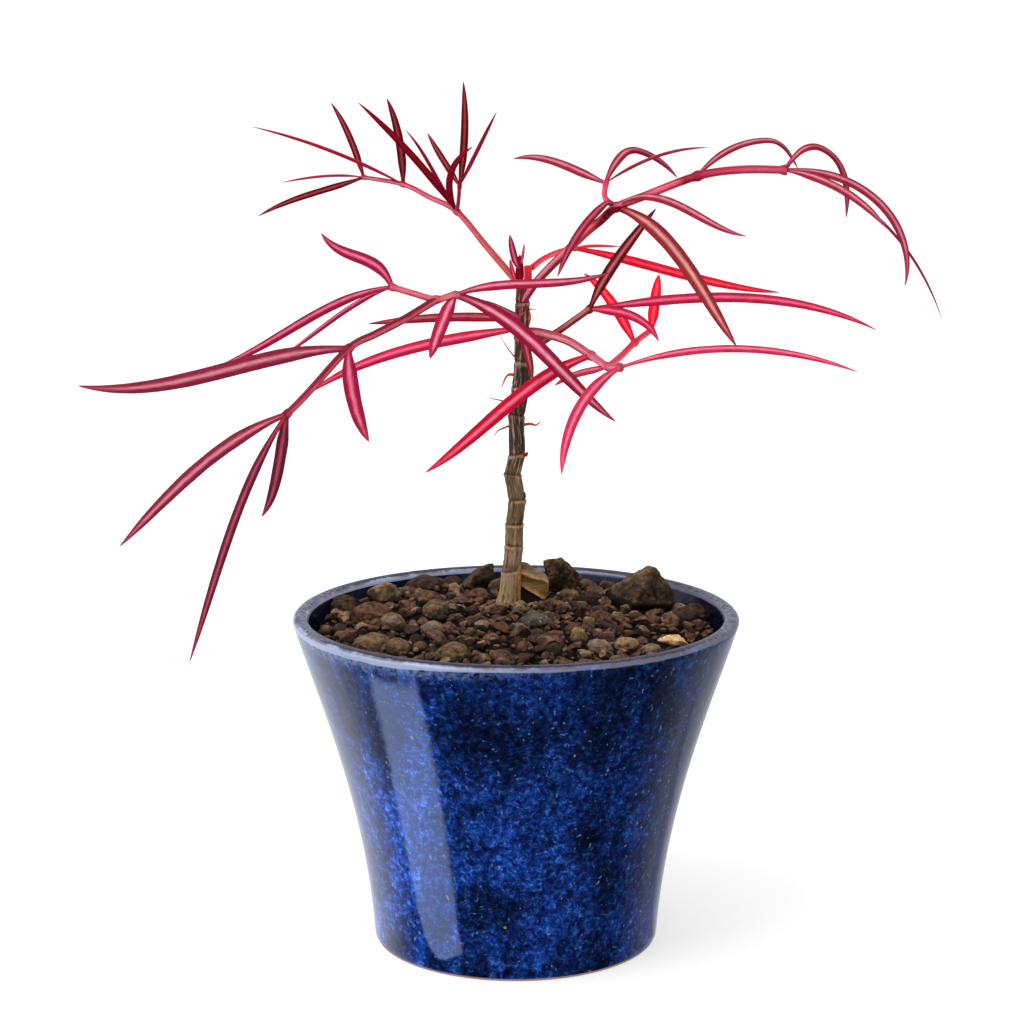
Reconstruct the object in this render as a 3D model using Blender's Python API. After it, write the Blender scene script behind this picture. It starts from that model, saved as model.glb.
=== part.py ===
# Potted cyphostemma: a thin jointed stem with narrow crimson leaflets, in a blue glazed pot.
#
# Lengths here are in millimetres and become metres where a mesh is made. The origin is the
# centre of the pot's flat underside, +Z is up and the front of the plant faces -Y.
# Headings are in degrees: 0 to the right, 90 to the back, 180 to the left, -90 to the front.
import math
import random
from dataclasses import dataclass, field

import bmesh
import bpy
import numpy as np
from mathutils import Vector
from mathutils.geometry import delaunay_2d_cdt

MM = 0.001
GAP = 0.3                   # clearance between neighbouring solids
GUIDE_SLACK = 0.03          # what a hidden cutter adds to it

# Pot
POT_HEIGHT = 83.4
POT_CURVE = ((35.6, 0), (38.0, 36), (49.6, 63), (55.8, 83.4))   # outer wall: radius, height
POT_WALL = 4.0
POT_FLOOR = 5.0
POT_FOOT_ROUND = 1.0
POT_SEGMENTS = 48
POT_WALL_RINGS = 8
POT_INNER_RINGS = 6
LIP_HEIGHT = 1.5            # the rim's rounding, half as wide as the wall
LIP_RINGS = 5

# Soil, heaped a little towards the stem
SOIL_EDGE = 77.5
SOIL_CROWN = 81.7
SOIL_RADIUS = 51.2
SOIL_BUMP = 0.5
SOIL_WAVES = (3.4, 5.2)     # a short and a long swell in the surface
SOIL_SEGMENTS = 48

# Gravel, which is the top of the soil
GRAIN_PITCH = 2.2           # spacing of the points that make the grains
GRAIN_RELIEF = (-0.7, 1.5)  # how far they lie below or above the soil
GRAIN_TRIES = 9000
GRAVEL_SEED = 5
EDGE_MARGIN = 1.5           # gravel points keep this far from the soil's edge
PEBBLE_SPACING = 1.0        # and points of the pebbles this far from each other
SAME_POINT = 0.0003         # nearer points count as one when the top is triangulated
PEBBLE_RINGS = ((0.45, 0.9, 5), (0.9, 0.45, 8))   # share of the radius and height, points
# Pebbles: place, size across and height above the soil
PEBBLES = (
    (-43, 19, 9, 4), (-36, 8, 10, 4), (-24, 38, 10, 5), (-17, 40, 6, 4), (-28, 33, 5, 3),
    (-22, 21, 8, 3), (-9, 23, 7, 3), (-14, 17, 5, 2), (-20, 0, 7, 4), (-30, -10, 6, 4),
    (-25, -12, 3, 3), (-20, -16, 6, 4), (-35, -22, 10, 4), (-28, -29, 6, 4), (-23, -27, 4, 2),
    (-15, -34, 8, 4), (-20, -34, 3, 2), (-11, -6, 4, 2), (-11, -18, 3, 2), (-6, -22, 4, 2),
    (2, -30, 4, 3), (-3, -38, 6, 3), (9, -34, 4, 3), (9, -18, 6, 2), (14, -15, 4, 3),
    (20, -28, 6, 3), (26, -25, 6, 3), (32, -28, 5, 3), (21, -3, 6, 3), (30, 0, 4, 3),
    (34, -4, 4, 3), (42, 3, 7, 4), (45, 12, 6, 4), (14, 25, 6, 3), (19, 19, 6, 3),
    (12, 5, 4, 2), (9, 11, 4, 2), (-4, 44, 6, 3), (4, 38, 5, 3), (19, 40, 7, 3),
)

# Stem
FOOT = (-1.8, 15.0)         # centre of the flat cut at soil level
FOOT_LEVEL = 81.5
FOOT_FLAT = 6.0             # the soil is flat this far from the stem's centre
FOOT_BLEND = 5.0            # and meets the heap over this width
STEM_HEIGHT = 83.0
STEM_LEAN = 10.0            # how far the top leans to the front
STEM_ROOT = 2.5             # radius above the flare
STEM_TOP = 1.75
FLARE = 1.1                 # extra radius at the very foot
FLARE_SHIFT = 0.5           # most of it is to the left
FLARE_HEIGHT = 2.2
STEM_SIDES = 12
# From one leaf scar to the next: share of the way, and what the radius gains there
JOINT_PROFILE = ((0.25, -0.12), (0.7, -0.1), (1.0, 0.12))
# Leaf scars: height above the foot, sideways swing of the stem, and how much it swells there
SCARS = ((0, 0.0, 0.0), (9, 0.7, 0.1), (15.5, 1.3, 0.0), (21.5, 1.4, 0.0), (27.5, 2.2, 0.0),
         (34.5, 0.9, 0.0), (39.5, 2.1, 0.0), (49.5, 1.9, 0.0), (57, 3.1, 0.4), (63, 3.5, 0.2),
         (69.5, 3.2, 0.0), (78, 3.4, 0.0), (83, 3.5, 0.0))

# Stalks and leaflets
STALK_SIDES = 8
STALK_STEP = 4.0            # spacing of rings along a stalk
COLLAR_BELOW = 2.0          # stalk that a spray keeps before its first joint
COLLAR_ABOVE = 4.5          # and after its last joint, where the stalk goes on
KNOB = 0.35                 # swelling of a joint against the stalk's radius
KNOB_REACH = 1.1            # how far the swelling runs along the stalk
KNOB_CLEAR = 1.7            # other rings keep this far from a joint
END_CAP = 0.5               # stalk past the joint that ends it
PATH_STEPS = 48             # steps of a leaflet's path
FOLD_SPAN = 0.2             # share of a leaflet's length that its fold takes
LEAFLET_RINGS = 8
LEAFLET_ROOT = 0.45         # width at the root against the widest
LEAFLET_SWELL = 0.28        # share of the length over which it widens
LEAFLET_TAPER = 0.3         # share of the length after which it narrows
LEAFLET_POINT = 3.0         # how late it narrows: 1 would be a straight-sided point
LEAFLET_BLUNT = 0.8         # below 1 the point itself is rounder
LEAFLET_TIP = 0.97          # where the point closes
LEAFLET_THICK = 0.42        # thickness against width
LEAFLET_SHOULDER = 0.62     # where the lens-shaped section turns, against half the width

SMOOTH = 40                 # degrees: sharper edges than this stay crisp
SMOOTH_POT = 50
SMOOTH_STONE = 20
ACROSS = (0.31, 0.92, 0.24)  # where a tube's rings start from: no stalk runs this way


@dataclass
class Leaflet:
    """A fleshy leaflet whose rise and heading change on the way from its joint to its tip.

    Rise is the climb from level. Bend and curl add to it in proportion to the share of the
    length and to its square, and sweep adds to the heading. Fold takes from the rise all at
    one place, fold_at. Face turns the upper side from straight up (0) to the front (90).
    """
    length: float
    heading: float
    rise: float
    bend: float = 0
    curl: float = 0
    sweep: float = 0
    width: float = 2.3
    face: float = 80
    fold: float = 0
    fold_at: float = 0.5


@dataclass
class Stalk:
    """A round stalk through its points, tapering from root to tip radius."""
    points: tuple
    root: float
    tip: float
    fade: float = 1.0       # above 1 the root swelling is soon lost
    line: np.ndarray = field(init=False)
    marks: list = field(init=False)

    def __post_init__(self):
        self.line, knots = smooth_line(self.points)
        steps = np.linalg.norm(np.diff(self.line, axis=0), axis=1)
        self.along = np.concatenate([[0.0], np.cumsum(steps)])
        self.marks = [self.along[k] for k in knots]

    def at(self, distance):
        """The point at a distance from the root, straight on past the tip."""
        past = max(0.0, distance - self.along[-1])
        point = np.array([np.interp(distance, self.along, self.line[:, k]) for k in range(3)])
        return point + past * unit(self.line[-1] - self.line[-2])

    def radius(self, distance):
        left = max(0.0, 1.0 - distance / self.along[-1])
        return self.tip + (self.root - self.tip) * left ** self.fade

    def piece(self, start, end, joints=()):
        """Rings of the stalk between two distances from its root, swollen at the joints."""
        count = max(2, math.ceil((end - start) / STALK_STEP))
        stations = set(np.linspace(start, end, count + 1))
        for joint in joints:
            near = {joint + KNOB_REACH * k for k in (-1, -0.5, 0, 0.5, 1)}
            stations = {s for s in stations if abs(s - joint) > KNOB_CLEAR or s in (start, end)}
            stations |= {s for s in near if start < s < end}
        stations = sorted(stations)
        radii = []
        for s in stations:
            swell = sum(max(0.0, 1 - ((s - joint) / KNOB_REACH) ** 2) for joint in joints)
            radii.append(self.radius(s) * (1 + KNOB * swell))
        return tube_rings(np.array([self.at(s) for s in stations]), radii, STALK_SIDES)


@dataclass
class Spray:
    """Leaflets fused to a stretch of stalk, by the number of the joint that carries them."""
    stalk: Stalk
    joints: dict
    ends_here: bool = False
    side_stalk: Stalk = None        # a short stalk of its own, wholly in this spray
    side_leaflets: tuple = ()
    branch: Stalk = None            # a longer stalk that only starts here


def smooth_line(points, samples=12):
    """A Catmull-Rom curve through the points, and the index of each point on it."""
    p = np.array(points, float)
    p = np.vstack([2 * p[0] - p[1], p, 2 * p[-1] - p[-2]])
    line = [p[1]]
    for i in range(1, len(p) - 2):
        before, start, end, after = p[i - 1:i + 3]
        for t in np.linspace(0, 1, samples + 1)[1:]:
            line.append(0.5 * (2 * start + (end - before) * t
                               + (2 * before - 5 * start + 4 * end - after) * t ** 2
                               + (3 * start - before - 3 * end + after) * t ** 3))
    return np.array(line), range(0, len(line), samples)


def unit(vector):
    return vector / np.linalg.norm(vector)


def tangents(centres):
    slopes = np.gradient(centres, axis=0)
    return slopes / np.linalg.norm(slopes, axis=1)[:, None]


def tube_rings(centres, radii, sides):
    """Circles square to the path, carried along it without twist."""
    rings = []
    axis = tangents(centres)
    across = unit(np.cross(axis[0], ACROSS))
    for centre, direction, radius in zip(centres, axis, radii):
        across = unit(across - direction * np.dot(across, direction))
        other = np.cross(direction, across)
        turns = [2 * math.pi * k / sides for k in range(sides)]
        rings.append([centre + radius * (math.cos(a) * across + math.sin(a) * other) for a in turns])
    return rings


def skin(rings, tip=None):
    """A closed mesh over rings of equal count, with flat ends or a point at the far end."""
    bm = bmesh.new()
    loops = [[bm.verts.new(Vector(p) * MM) for p in ring] for ring in rings]
    for lower, upper in zip(loops, loops[1:]):
        for k in range(len(lower)):
            n = (k + 1) % len(lower)
            bm.faces.new((lower[k], lower[n], upper[n], upper[k]))
    bm.faces.new(loops[0][::-1])
    if tip is None:
        bm.faces.new(loops[-1])
    else:
        point = bm.verts.new(Vector(tip) * MM)
        for k in range(len(loops[-1])):
            bm.faces.new((loops[-1][k], loops[-1][(k + 1) % len(loops[-1])], point))
    bmesh.ops.recalc_face_normals(bm, faces=bm.faces)
    return bm


def make_object(name, bm, at, material, parent, smooth_angle=SMOOTH):
    """Turn a mesh in world coordinates into an object whose origin is its own reference point."""
    offset = Vector(at) * MM
    bmesh.ops.translate(bm, verts=bm.verts, vec=-offset)
    mesh = bpy.data.meshes.new(name)
    bm.to_mesh(mesh)
    bm.free()
    mesh.shade_smooth()
    mesh.set_sharp_from_angle(angle=math.radians(smooth_angle))
    mesh.materials.append(material)
    obj = bpy.data.objects.new(name, mesh)
    bpy.context.scene.collection.objects.link(obj)
    obj.parent = parent
    obj.location = offset - parent.location
    return obj


def make_guide(name, bm, material, parent):
    """A hidden cutter that keeps the clearance to a solid."""
    guide = make_object(name, bm, (0, 0, 0), material, parent)
    guide.hide_render = True
    guide.display_type = 'WIRE'
    return guide


def cut_clear(obj, guide):
    cut = obj.modifiers.new("clear_of_" + guide.name, 'BOOLEAN')
    cut.operation = 'DIFFERENCE'
    cut.solver = 'EXACT'
    cut.object = guide


def fuse(base, others):
    """Join the others to the base with one Boolean union and apply it."""
    operands = bpy.data.collections.new(base.name + "_parts")
    bpy.context.scene.collection.children.link(operands)
    for other in others:
        bpy.context.scene.collection.objects.unlink(other)
        operands.objects.link(other)
    union = base.modifiers.new("fuse", 'BOOLEAN')
    union.operation = 'UNION'
    union.solver = 'EXACT'
    union.operand_type = 'COLLECTION'
    union.collection = operands
    graph = bpy.context.evaluated_depsgraph_get()
    fused = bpy.data.meshes.new_from_object(base.evaluated_get(graph))
    base.modifiers.clear()
    base.data = fused
    for other in others:
        bpy.data.objects.remove(other)
    bpy.data.collections.remove(operands)
    keep_outer_body(fused)


def keep_outer_body(mesh):
    """Fill sealed hollows and drop loose scraps by keeping only the largest outer surface."""
    bm = bmesh.new()
    bm.from_mesh(mesh)
    left = set(bm.verts)
    shells = []
    while left:
        shell = set()
        queue = [left.pop()]
        while queue:
            vertex = queue.pop()
            shell.add(vertex)
            for edge in vertex.link_edges:
                other = edge.other_vert(vertex)
                if other in left:
                    left.remove(other)
                    queue.append(other)
        shells.append(shell)
    largest = max(shells, key=len)
    scraps = [v for shell in shells if shell is not largest for v in shell]
    bmesh.ops.delete(bm, geom=scraps, context='VERTS')
    bm.to_mesh(mesh)
    bm.free()


# The materials hold the plain colour and gloss of each kind of surface
def make_material(name, colour, roughness):
    material = bpy.data.materials.new(name)
    material.use_nodes = True
    shader = material.node_tree.nodes["Principled BSDF"]
    shader.inputs["Base Color"].default_value = (*colour, 1.0)
    shader.inputs["Roughness"].default_value = roughness
    shader.inputs["Metallic"].default_value = 0.0
    return material


# Pot and what fills it
def bezier(controls, t):
    weights = ((1 - t) ** 3, 3 * t * (1 - t) ** 2, 3 * t ** 2 * (1 - t), t ** 3)
    return sum(w * np.array(c, float) for w, c in zip(weights, controls))


def wall_radius(height, inset=0.0):
    """Radius of the pot's outer curve at a height, less an inset for the inner wall."""
    samples = np.array([bezier(POT_CURVE, t) for t in np.linspace(0, 1, 60)])
    return float(np.interp(height, samples[:, 1], samples[:, 0])) - inset


def inner_levels():
    """Heights of the rings down the inner wall, from the rim to the floor."""
    return np.linspace(POT_HEIGHT - LIP_HEIGHT, POT_FLOOR, POT_INNER_RINGS)


def pot_outline():
    """Radius and height from the underside, up the wall, over the lip and down to the floor."""
    lip = POT_WALL / 2
    lip_level = POT_HEIGHT - LIP_HEIGHT
    heights = np.linspace(POT_FOOT_ROUND, lip_level, POT_WALL_RINGS)
    outline = [(wall_radius(0) - POT_FOOT_ROUND, 0.0)]
    outline += [(wall_radius(h), h) for h in heights]
    middle = wall_radius(lip_level) - lip
    for k in range(1, LIP_RINGS + 1):
        turn = math.pi * k / (LIP_RINGS + 1)
        outline.append((middle + lip * math.cos(turn), lip_level + LIP_HEIGHT * math.sin(turn)))
    outline += [(wall_radius(h, POT_WALL), h) for h in inner_levels()]
    return outline


def circle(radius, height, count):
    turns = [2 * math.pi * k / count for k in range(count)]
    return [(radius * math.cos(a), radius * math.sin(a), height) for a in turns]


def build_pot(material, parent):
    rings = [circle(radius, height, POT_SEGMENTS) for radius, height in pot_outline()]
    make_object("pot", skin(rings), (0, 0, 0), material, parent, smooth_angle=SMOOTH_POT)


def soil_level(x, y):
    """Height of the soil: a low heap, uneven, and flat where the stem stands."""
    share = min(1.0, math.hypot(x, y) / SOIL_RADIUS)
    heap = SOIL_EDGE + (SOIL_CROWN - SOIL_EDGE) * (1 - share ** 2)
    short, long = SOIL_WAVES
    bumps = math.cos(x / short) * math.cos(y / short) + math.sin((x - y) / long)
    level = heap + SOIL_BUMP * bumps * (1 - share ** 4)
    away = min(1.0, max(0.0, (to_foot(x, y) - FOOT_FLAT) / FOOT_BLEND))
    return (FOOT_LEVEL - GAP) * (1 - away) + level * away


def to_foot(x, y):
    return math.hypot(x - FOOT[0], y - FOOT[1])


def gravel_reach():
    """How far from the middle the gravel's points may lie."""
    return wall_radius(SOIL_EDGE, POT_WALL + GAP) - EDGE_MARGIN


def is_free(x, y, points, spacing):
    return all(math.hypot(x - a, y - b) > spacing for a, b, _ in points)


def pebble_points():
    """The tops and shoulders of the pebbles, which stand on the soil."""
    limit = gravel_reach()
    points = []
    for x, y, width, height in PEBBLES:
        spots = [(x, y, 1.0)]
        for reach, rise, count in PEBBLE_RINGS:
            spots += [(x + a, y + b, rise) for a, b, _ in circle(width / 2 * reach, 0.0, count)]
        for a, b, rise in spots:
            if math.hypot(a, b) < limit and is_free(a, b, points, PEBBLE_SPACING):
                points.append((a, b, soil_level(a, b) + height * rise))
    return points


def gravel_points():
    """The pebbles' points, and seeded ones for the small grains between them."""
    pebbles = pebble_points()
    draw = random.Random(GRAVEL_SEED)
    limit = gravel_reach()
    grains = []
    for _ in range(GRAIN_TRIES):
        radius, turn = limit * math.sqrt(draw.random()), 2 * math.pi * draw.random()
        x, y = radius * math.cos(turn), radius * math.sin(turn)
        if is_free(x, y, pebbles + grains, GRAIN_PITCH):
            relief = draw.uniform(*GRAIN_RELIEF) if to_foot(x, y) > FOOT_FLAT else 0.0
            grains.append((x, y, soil_level(x, y) + relief))
    return pebbles + grains


def soil_mesh(gravel, raise_by=0.0):
    """The pot's filling, up to a top that joins its edge and the gravel's points."""
    wall_gap = POT_WALL + GAP
    bottom = POT_FLOOR + GAP
    heights = [bottom, *(h for h in sorted(inner_levels()) if bottom < h < SOIL_EDGE), SOIL_EDGE]
    rings = [circle(wall_radius(h, wall_gap), h, SOIL_SEGMENTS) for h in heights]
    flat = [Vector(point[:2]) for point in rings[-1] + gravel]
    triangles = delaunay_2d_cdt(flat, [], [], 0, SAME_POINT)[2]
    bm = bmesh.new()
    loops = [[bm.verts.new(Vector((x, y, z + raise_by)) * MM) for x, y, z in ring] for ring in rings]
    for lower, upper in zip(loops, loops[1:]):
        for k in range(SOIL_SEGMENTS):
            n = (k + 1) % SOIL_SEGMENTS
            bm.faces.new((lower[k], lower[n], upper[n], upper[k]))
    bm.faces.new(loops[0][::-1])
    surface = loops[-1] + [bm.verts.new(Vector((x, y, z + raise_by)) * MM) for x, y, z in gravel]
    for triangle in triangles:
        bm.faces.new([surface[k] for k in triangle])
    bmesh.ops.recalc_face_normals(bm, faces=bm.faces)
    return bm


# Stones: name, centre, size (across, deep, tall), lean of the peak, how much the top narrows,
# seed and backward tilt in degrees
STONES = (
    ("rock_right", (31, 18, 83), (19.5, 13, 16.5), 0.45, 0.55, 40, 0),
    ("rock_back", (12, 31, 85), (11, 8, 13.5), -0.4, 0.3, 16, 0),
    ("rock_back_left", (-10, 34, 83.5), (7.5, 8, 10.5), 0.55, 0.0, 12, 0),
    ("stone_left", (-34, 22, 82), (10, 8, 8), 0.2, 0.0, 40, 0),
    ("stone_slate", (4, -8, 82.5), (10.5, 9.5, 5.5), 0.1, 0.4, 81, 25),
    ("stone_foot", (-4.5, 3, 82.5), (7.5, 6.5, 6), 0.2, 0.0, 82, 0),
    ("stone_cream", (38, -18, 80), (8, 6.5, 4.5), -0.3, 0.0, 59, 0),
)
STONE_POINTS = 26


def stone_mesh(centre, size, lean, narrow, seed, tilt):
    """An angular stone: the hull of seeded points on a leaning, tilted ellipsoid."""
    draw = random.Random(seed)
    slope = math.radians(tilt)
    bm = bmesh.new()
    for _ in range(STONE_POINTS):
        spot = unit(np.array([draw.gauss(0, 1) for _ in range(3)]))
        x, y, z = spot * np.array(size) / 2 * (1 - narrow * spot[2], 1, 1)
        x += lean * z
        y, z = y * math.cos(slope) - z * math.sin(slope), y * math.sin(slope) + z * math.cos(slope)
        bm.verts.new(Vector((centre[0] + x, centre[1] + y, centre[2] + z)) * MM)
    hull = bmesh.ops.convex_hull(bm, input=bm.verts)
    bmesh.ops.delete(bm, geom=hull["geom_interior"], context='VERTS')
    bmesh.ops.recalc_face_normals(bm, faces=bm.faces)
    return bm


# Stem, its old stub and its growing tip
def stem_centre(height):
    levels, swings, _ = zip(*SCARS)
    x = FOOT[0] + np.interp(height, levels, swings) - FLARE_SHIFT * math.exp(-height / FLARE_HEIGHT)
    return np.array([x, FOOT[1] - STEM_LEAN * height / STEM_HEIGHT, FOOT_LEVEL + height])


def stem_radius(height):
    levels, _, swells = zip(*SCARS)
    taper = STEM_ROOT + (STEM_TOP - STEM_ROOT) * height / STEM_HEIGHT
    return taper + np.interp(height, levels, swells) + FLARE * math.exp(-height / FLARE_HEIGHT)


def stem_rings(grow=0.0):
    """Level rings: three to each joint of the stem, the last one on the ridge of a leaf scar."""
    levels = [(0.0, 0.0)]
    for (below, *_), (above, *_) in zip(SCARS, SCARS[1:]):
        levels += [(below + (above - below) * share, gain) for share, gain in JOINT_PROFILE]
    rings = []
    for height, gain in levels:
        centre = stem_centre(height)
        ring = circle(stem_radius(height) + gain + grow, 0.0, STEM_SIDES)
        rings.append([centre + np.array(p) for p in ring])
    if grow:
        rings[-1] = [p + np.array((0, 0, grow)) for p in rings[-1]]
    return rings


# The old shoot's stub, a flattened shell beside the stem: x, level, half height and half depth
STUB_SECTIONS = ((1.3, 86.7, 5.9, 2.0), (3.0, 86.8, 5.7, 2.4), (4.6, 86.5, 4.8, 2.4),
                 (6.4, 86.6, 4.0, 2.2), (7.6, 86.6, 3.2, 1.7), (8.3, 86.6, 2.3, 1.1))
STUB_DEPTH = 14.5


def stub_mesh():
    rings = []
    turns = [2 * math.pi * k / STALK_SIDES for k in range(STALK_SIDES)]
    for x, level, tall, deep in STUB_SECTIONS:
        rings.append([(x, STUB_DEPTH + deep * math.cos(a), level + tall * math.sin(a)) for a in turns])
    return skin(rings)


TIP_SHOOT = Stalk(((1.4, 4.4, 163.5), (0.8, 4.4, 166.5), (0.7, 4.4, 169.5), (-1.1, 3.2, 176.0)),
                  0.85, 0.15)
TIP_BLADES = ((1, Leaflet(5.5, 165, 60, bend=20, width=1.6)), (2, Leaflet(5, 60, 78, width=1.2)))


def build_growing_tip(material, parent, stem_guide):
    start = TIP_SHOOT.points[0]
    rings = TIP_SHOOT.piece(0, TIP_SHOOT.along[-1])
    shoot = make_object("growing_tip", skin(rings), start, material, parent)
    blades = []
    for joint, leaflet in TIP_BLADES:
        root = TIP_SHOOT.at(TIP_SHOOT.marks[joint])
        blades.append(make_object("tip_blade", leaflet_mesh(root, leaflet), start, material, parent))
    fuse(shoot, blades)
    cut_clear(shoot, stem_guide)


# Leaflets
def leaflet_path(root, leaflet):
    """Centre points of a leaflet from its joint to its tip."""
    share = (np.arange(PATH_STEPS) + 0.5) / PATH_STEPS
    folded = np.clip((share - leaflet.fold_at) / FOLD_SPAN + 0.5, 0, 1)
    rise = leaflet.rise + leaflet.bend * share + leaflet.curl * share ** 2 - leaflet.fold * folded
    rise = np.radians(rise)
    heading = np.radians(leaflet.heading + leaflet.sweep * share)
    level = np.cos(rise)
    step = np.stack([level * np.cos(heading), level * np.sin(heading), np.sin(rise)], axis=1)
    walk = np.cumsum(step * leaflet.length / PATH_STEPS, axis=0)
    return np.vstack([root, root + walk])


def leaflet_breadth(share):
    """Width at a share of the length, against the widest: narrow root, belly, long point."""
    swell = min(1.0, share / LEAFLET_SWELL)
    opening = LEAFLET_ROOT + (1 - LEAFLET_ROOT) * swell * swell * (3 - 2 * swell)
    closing = max(0.0, (share - LEAFLET_TAPER) / (1 - LEAFLET_TAPER))
    return opening * (1 - closing ** LEAFLET_POINT) ** LEAFLET_BLUNT


def leaflet_mesh(root, leaflet):
    path = leaflet_path(np.array(root, float), leaflet)
    axis = tangents(path)
    face = math.radians(leaflet.face)
    outward = np.array((0, -math.sin(face), math.cos(face)))
    rings = []
    for share in np.linspace(0, LEAFLET_TIP, LEAFLET_RINGS + 1):
        index = round(share * PATH_STEPS)
        normal = unit(outward - axis[index] * np.dot(outward, axis[index]))
        half = leaflet.width / 2 * leaflet_breadth(share)
        across = np.cross(axis[index], normal) * half
        lift = normal * half * LEAFLET_THICK
        turn = across * LEAFLET_SHOULDER
        ring = (across, turn + lift, lift - turn, -across, -turn - lift, turn - lift)
        rings.append([path[index] + corner for corner in ring])
    return skin(rings, tip=path[-1])


# Stalks, each through its joints
TOP_LEFT = Stalk(((1.7, 5.3, 162.4), (-0.6, 6.4, 165.5), (-7.6, 9, 173.5), (-14.5, 12, 181.3),
                  (-21.5, 16, 184.6), (-28, 20, 187.4), (-38.2, 28, 188.6)), 0.9, 0.5)
TOP_LEFT_SIDE = Stalk(((-14.5, 12, 181.3), (-14, 8.5, 184.5), (-13.7, 6, 188.0)), 0.5, 0.45)
ARCHING = Stalk(((1.8, 4.8, 160.2), (6, 2.5, 166.2), (15.5, -4, 176.4), (20.3, -8, 180.9),
                 (23.6, -12, 184.2), (30.4, -15, 187.2), (42.2, -20, 192.1), (52, -21, 193.6),
                 (62.3, -22, 193.6)), 1.05, 0.95)
ARCHING_SIDE = Stalk(((23.6, -12, 184.2), (21, -11.5, 186.4), (21.2, -10, 189.8)), 0.75, 0.6)
LEFT = Stalk(((1.2, 6.2, 155.4), (-5, -4, 159.6), (-9.5, -15, 162.2), (-14.2, -26, 165.0),
              (-18.4, -29, 164.3), (-23.5, -30.5, 165.8), (-28.6, -32, 167.5)), 0.95, 0.75)
DROOPING = Stalk(((-18.4, -29, 164.3), (-26, -36, 160.4), (-32, -40, 157.7), (-38, -44, 154.8),
                  (-46.9, -52, 145.7), (-51.2, -55, 141.6)), 0.95, 0.8)
RIGHT = Stalk(((1.8, 7.6, 148.6), (5, 7.6, 149.3), (9, 6.5, 151.5), (17.9, 0, 158.7)),
              1.6, 0.85, fade=5)
LOWER_RIGHT = Stalk(((1.5, 6.4, 152.0), (5.5, 5, 152.3), (12.3, 2, 150.8), (18.3, 0, 147.3),
                     (22.3, -6, 145.4), (25, -8, 145.5)), 1.25, 0.85)
RED_TWIG = Stalk(((22.3, -6, 145.4), (25.8, 1, 147.2), (29.2, 8, 149.4), (33.9, 20, 151.1)), 0.85, 0.75)
BACK_POST = Stalk(((2.2, 6.1, 161.5), (2.9, 8.3, 164.5), (2.9, 10, 168.0)), 1.05, 0.95)
BACK = Stalk(((3.9, 11.3, 167.6), (7, 17, 169.3), (11.1, 25, 170.3), (15, 32, 170.4)), 0.75, 0.6)

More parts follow.
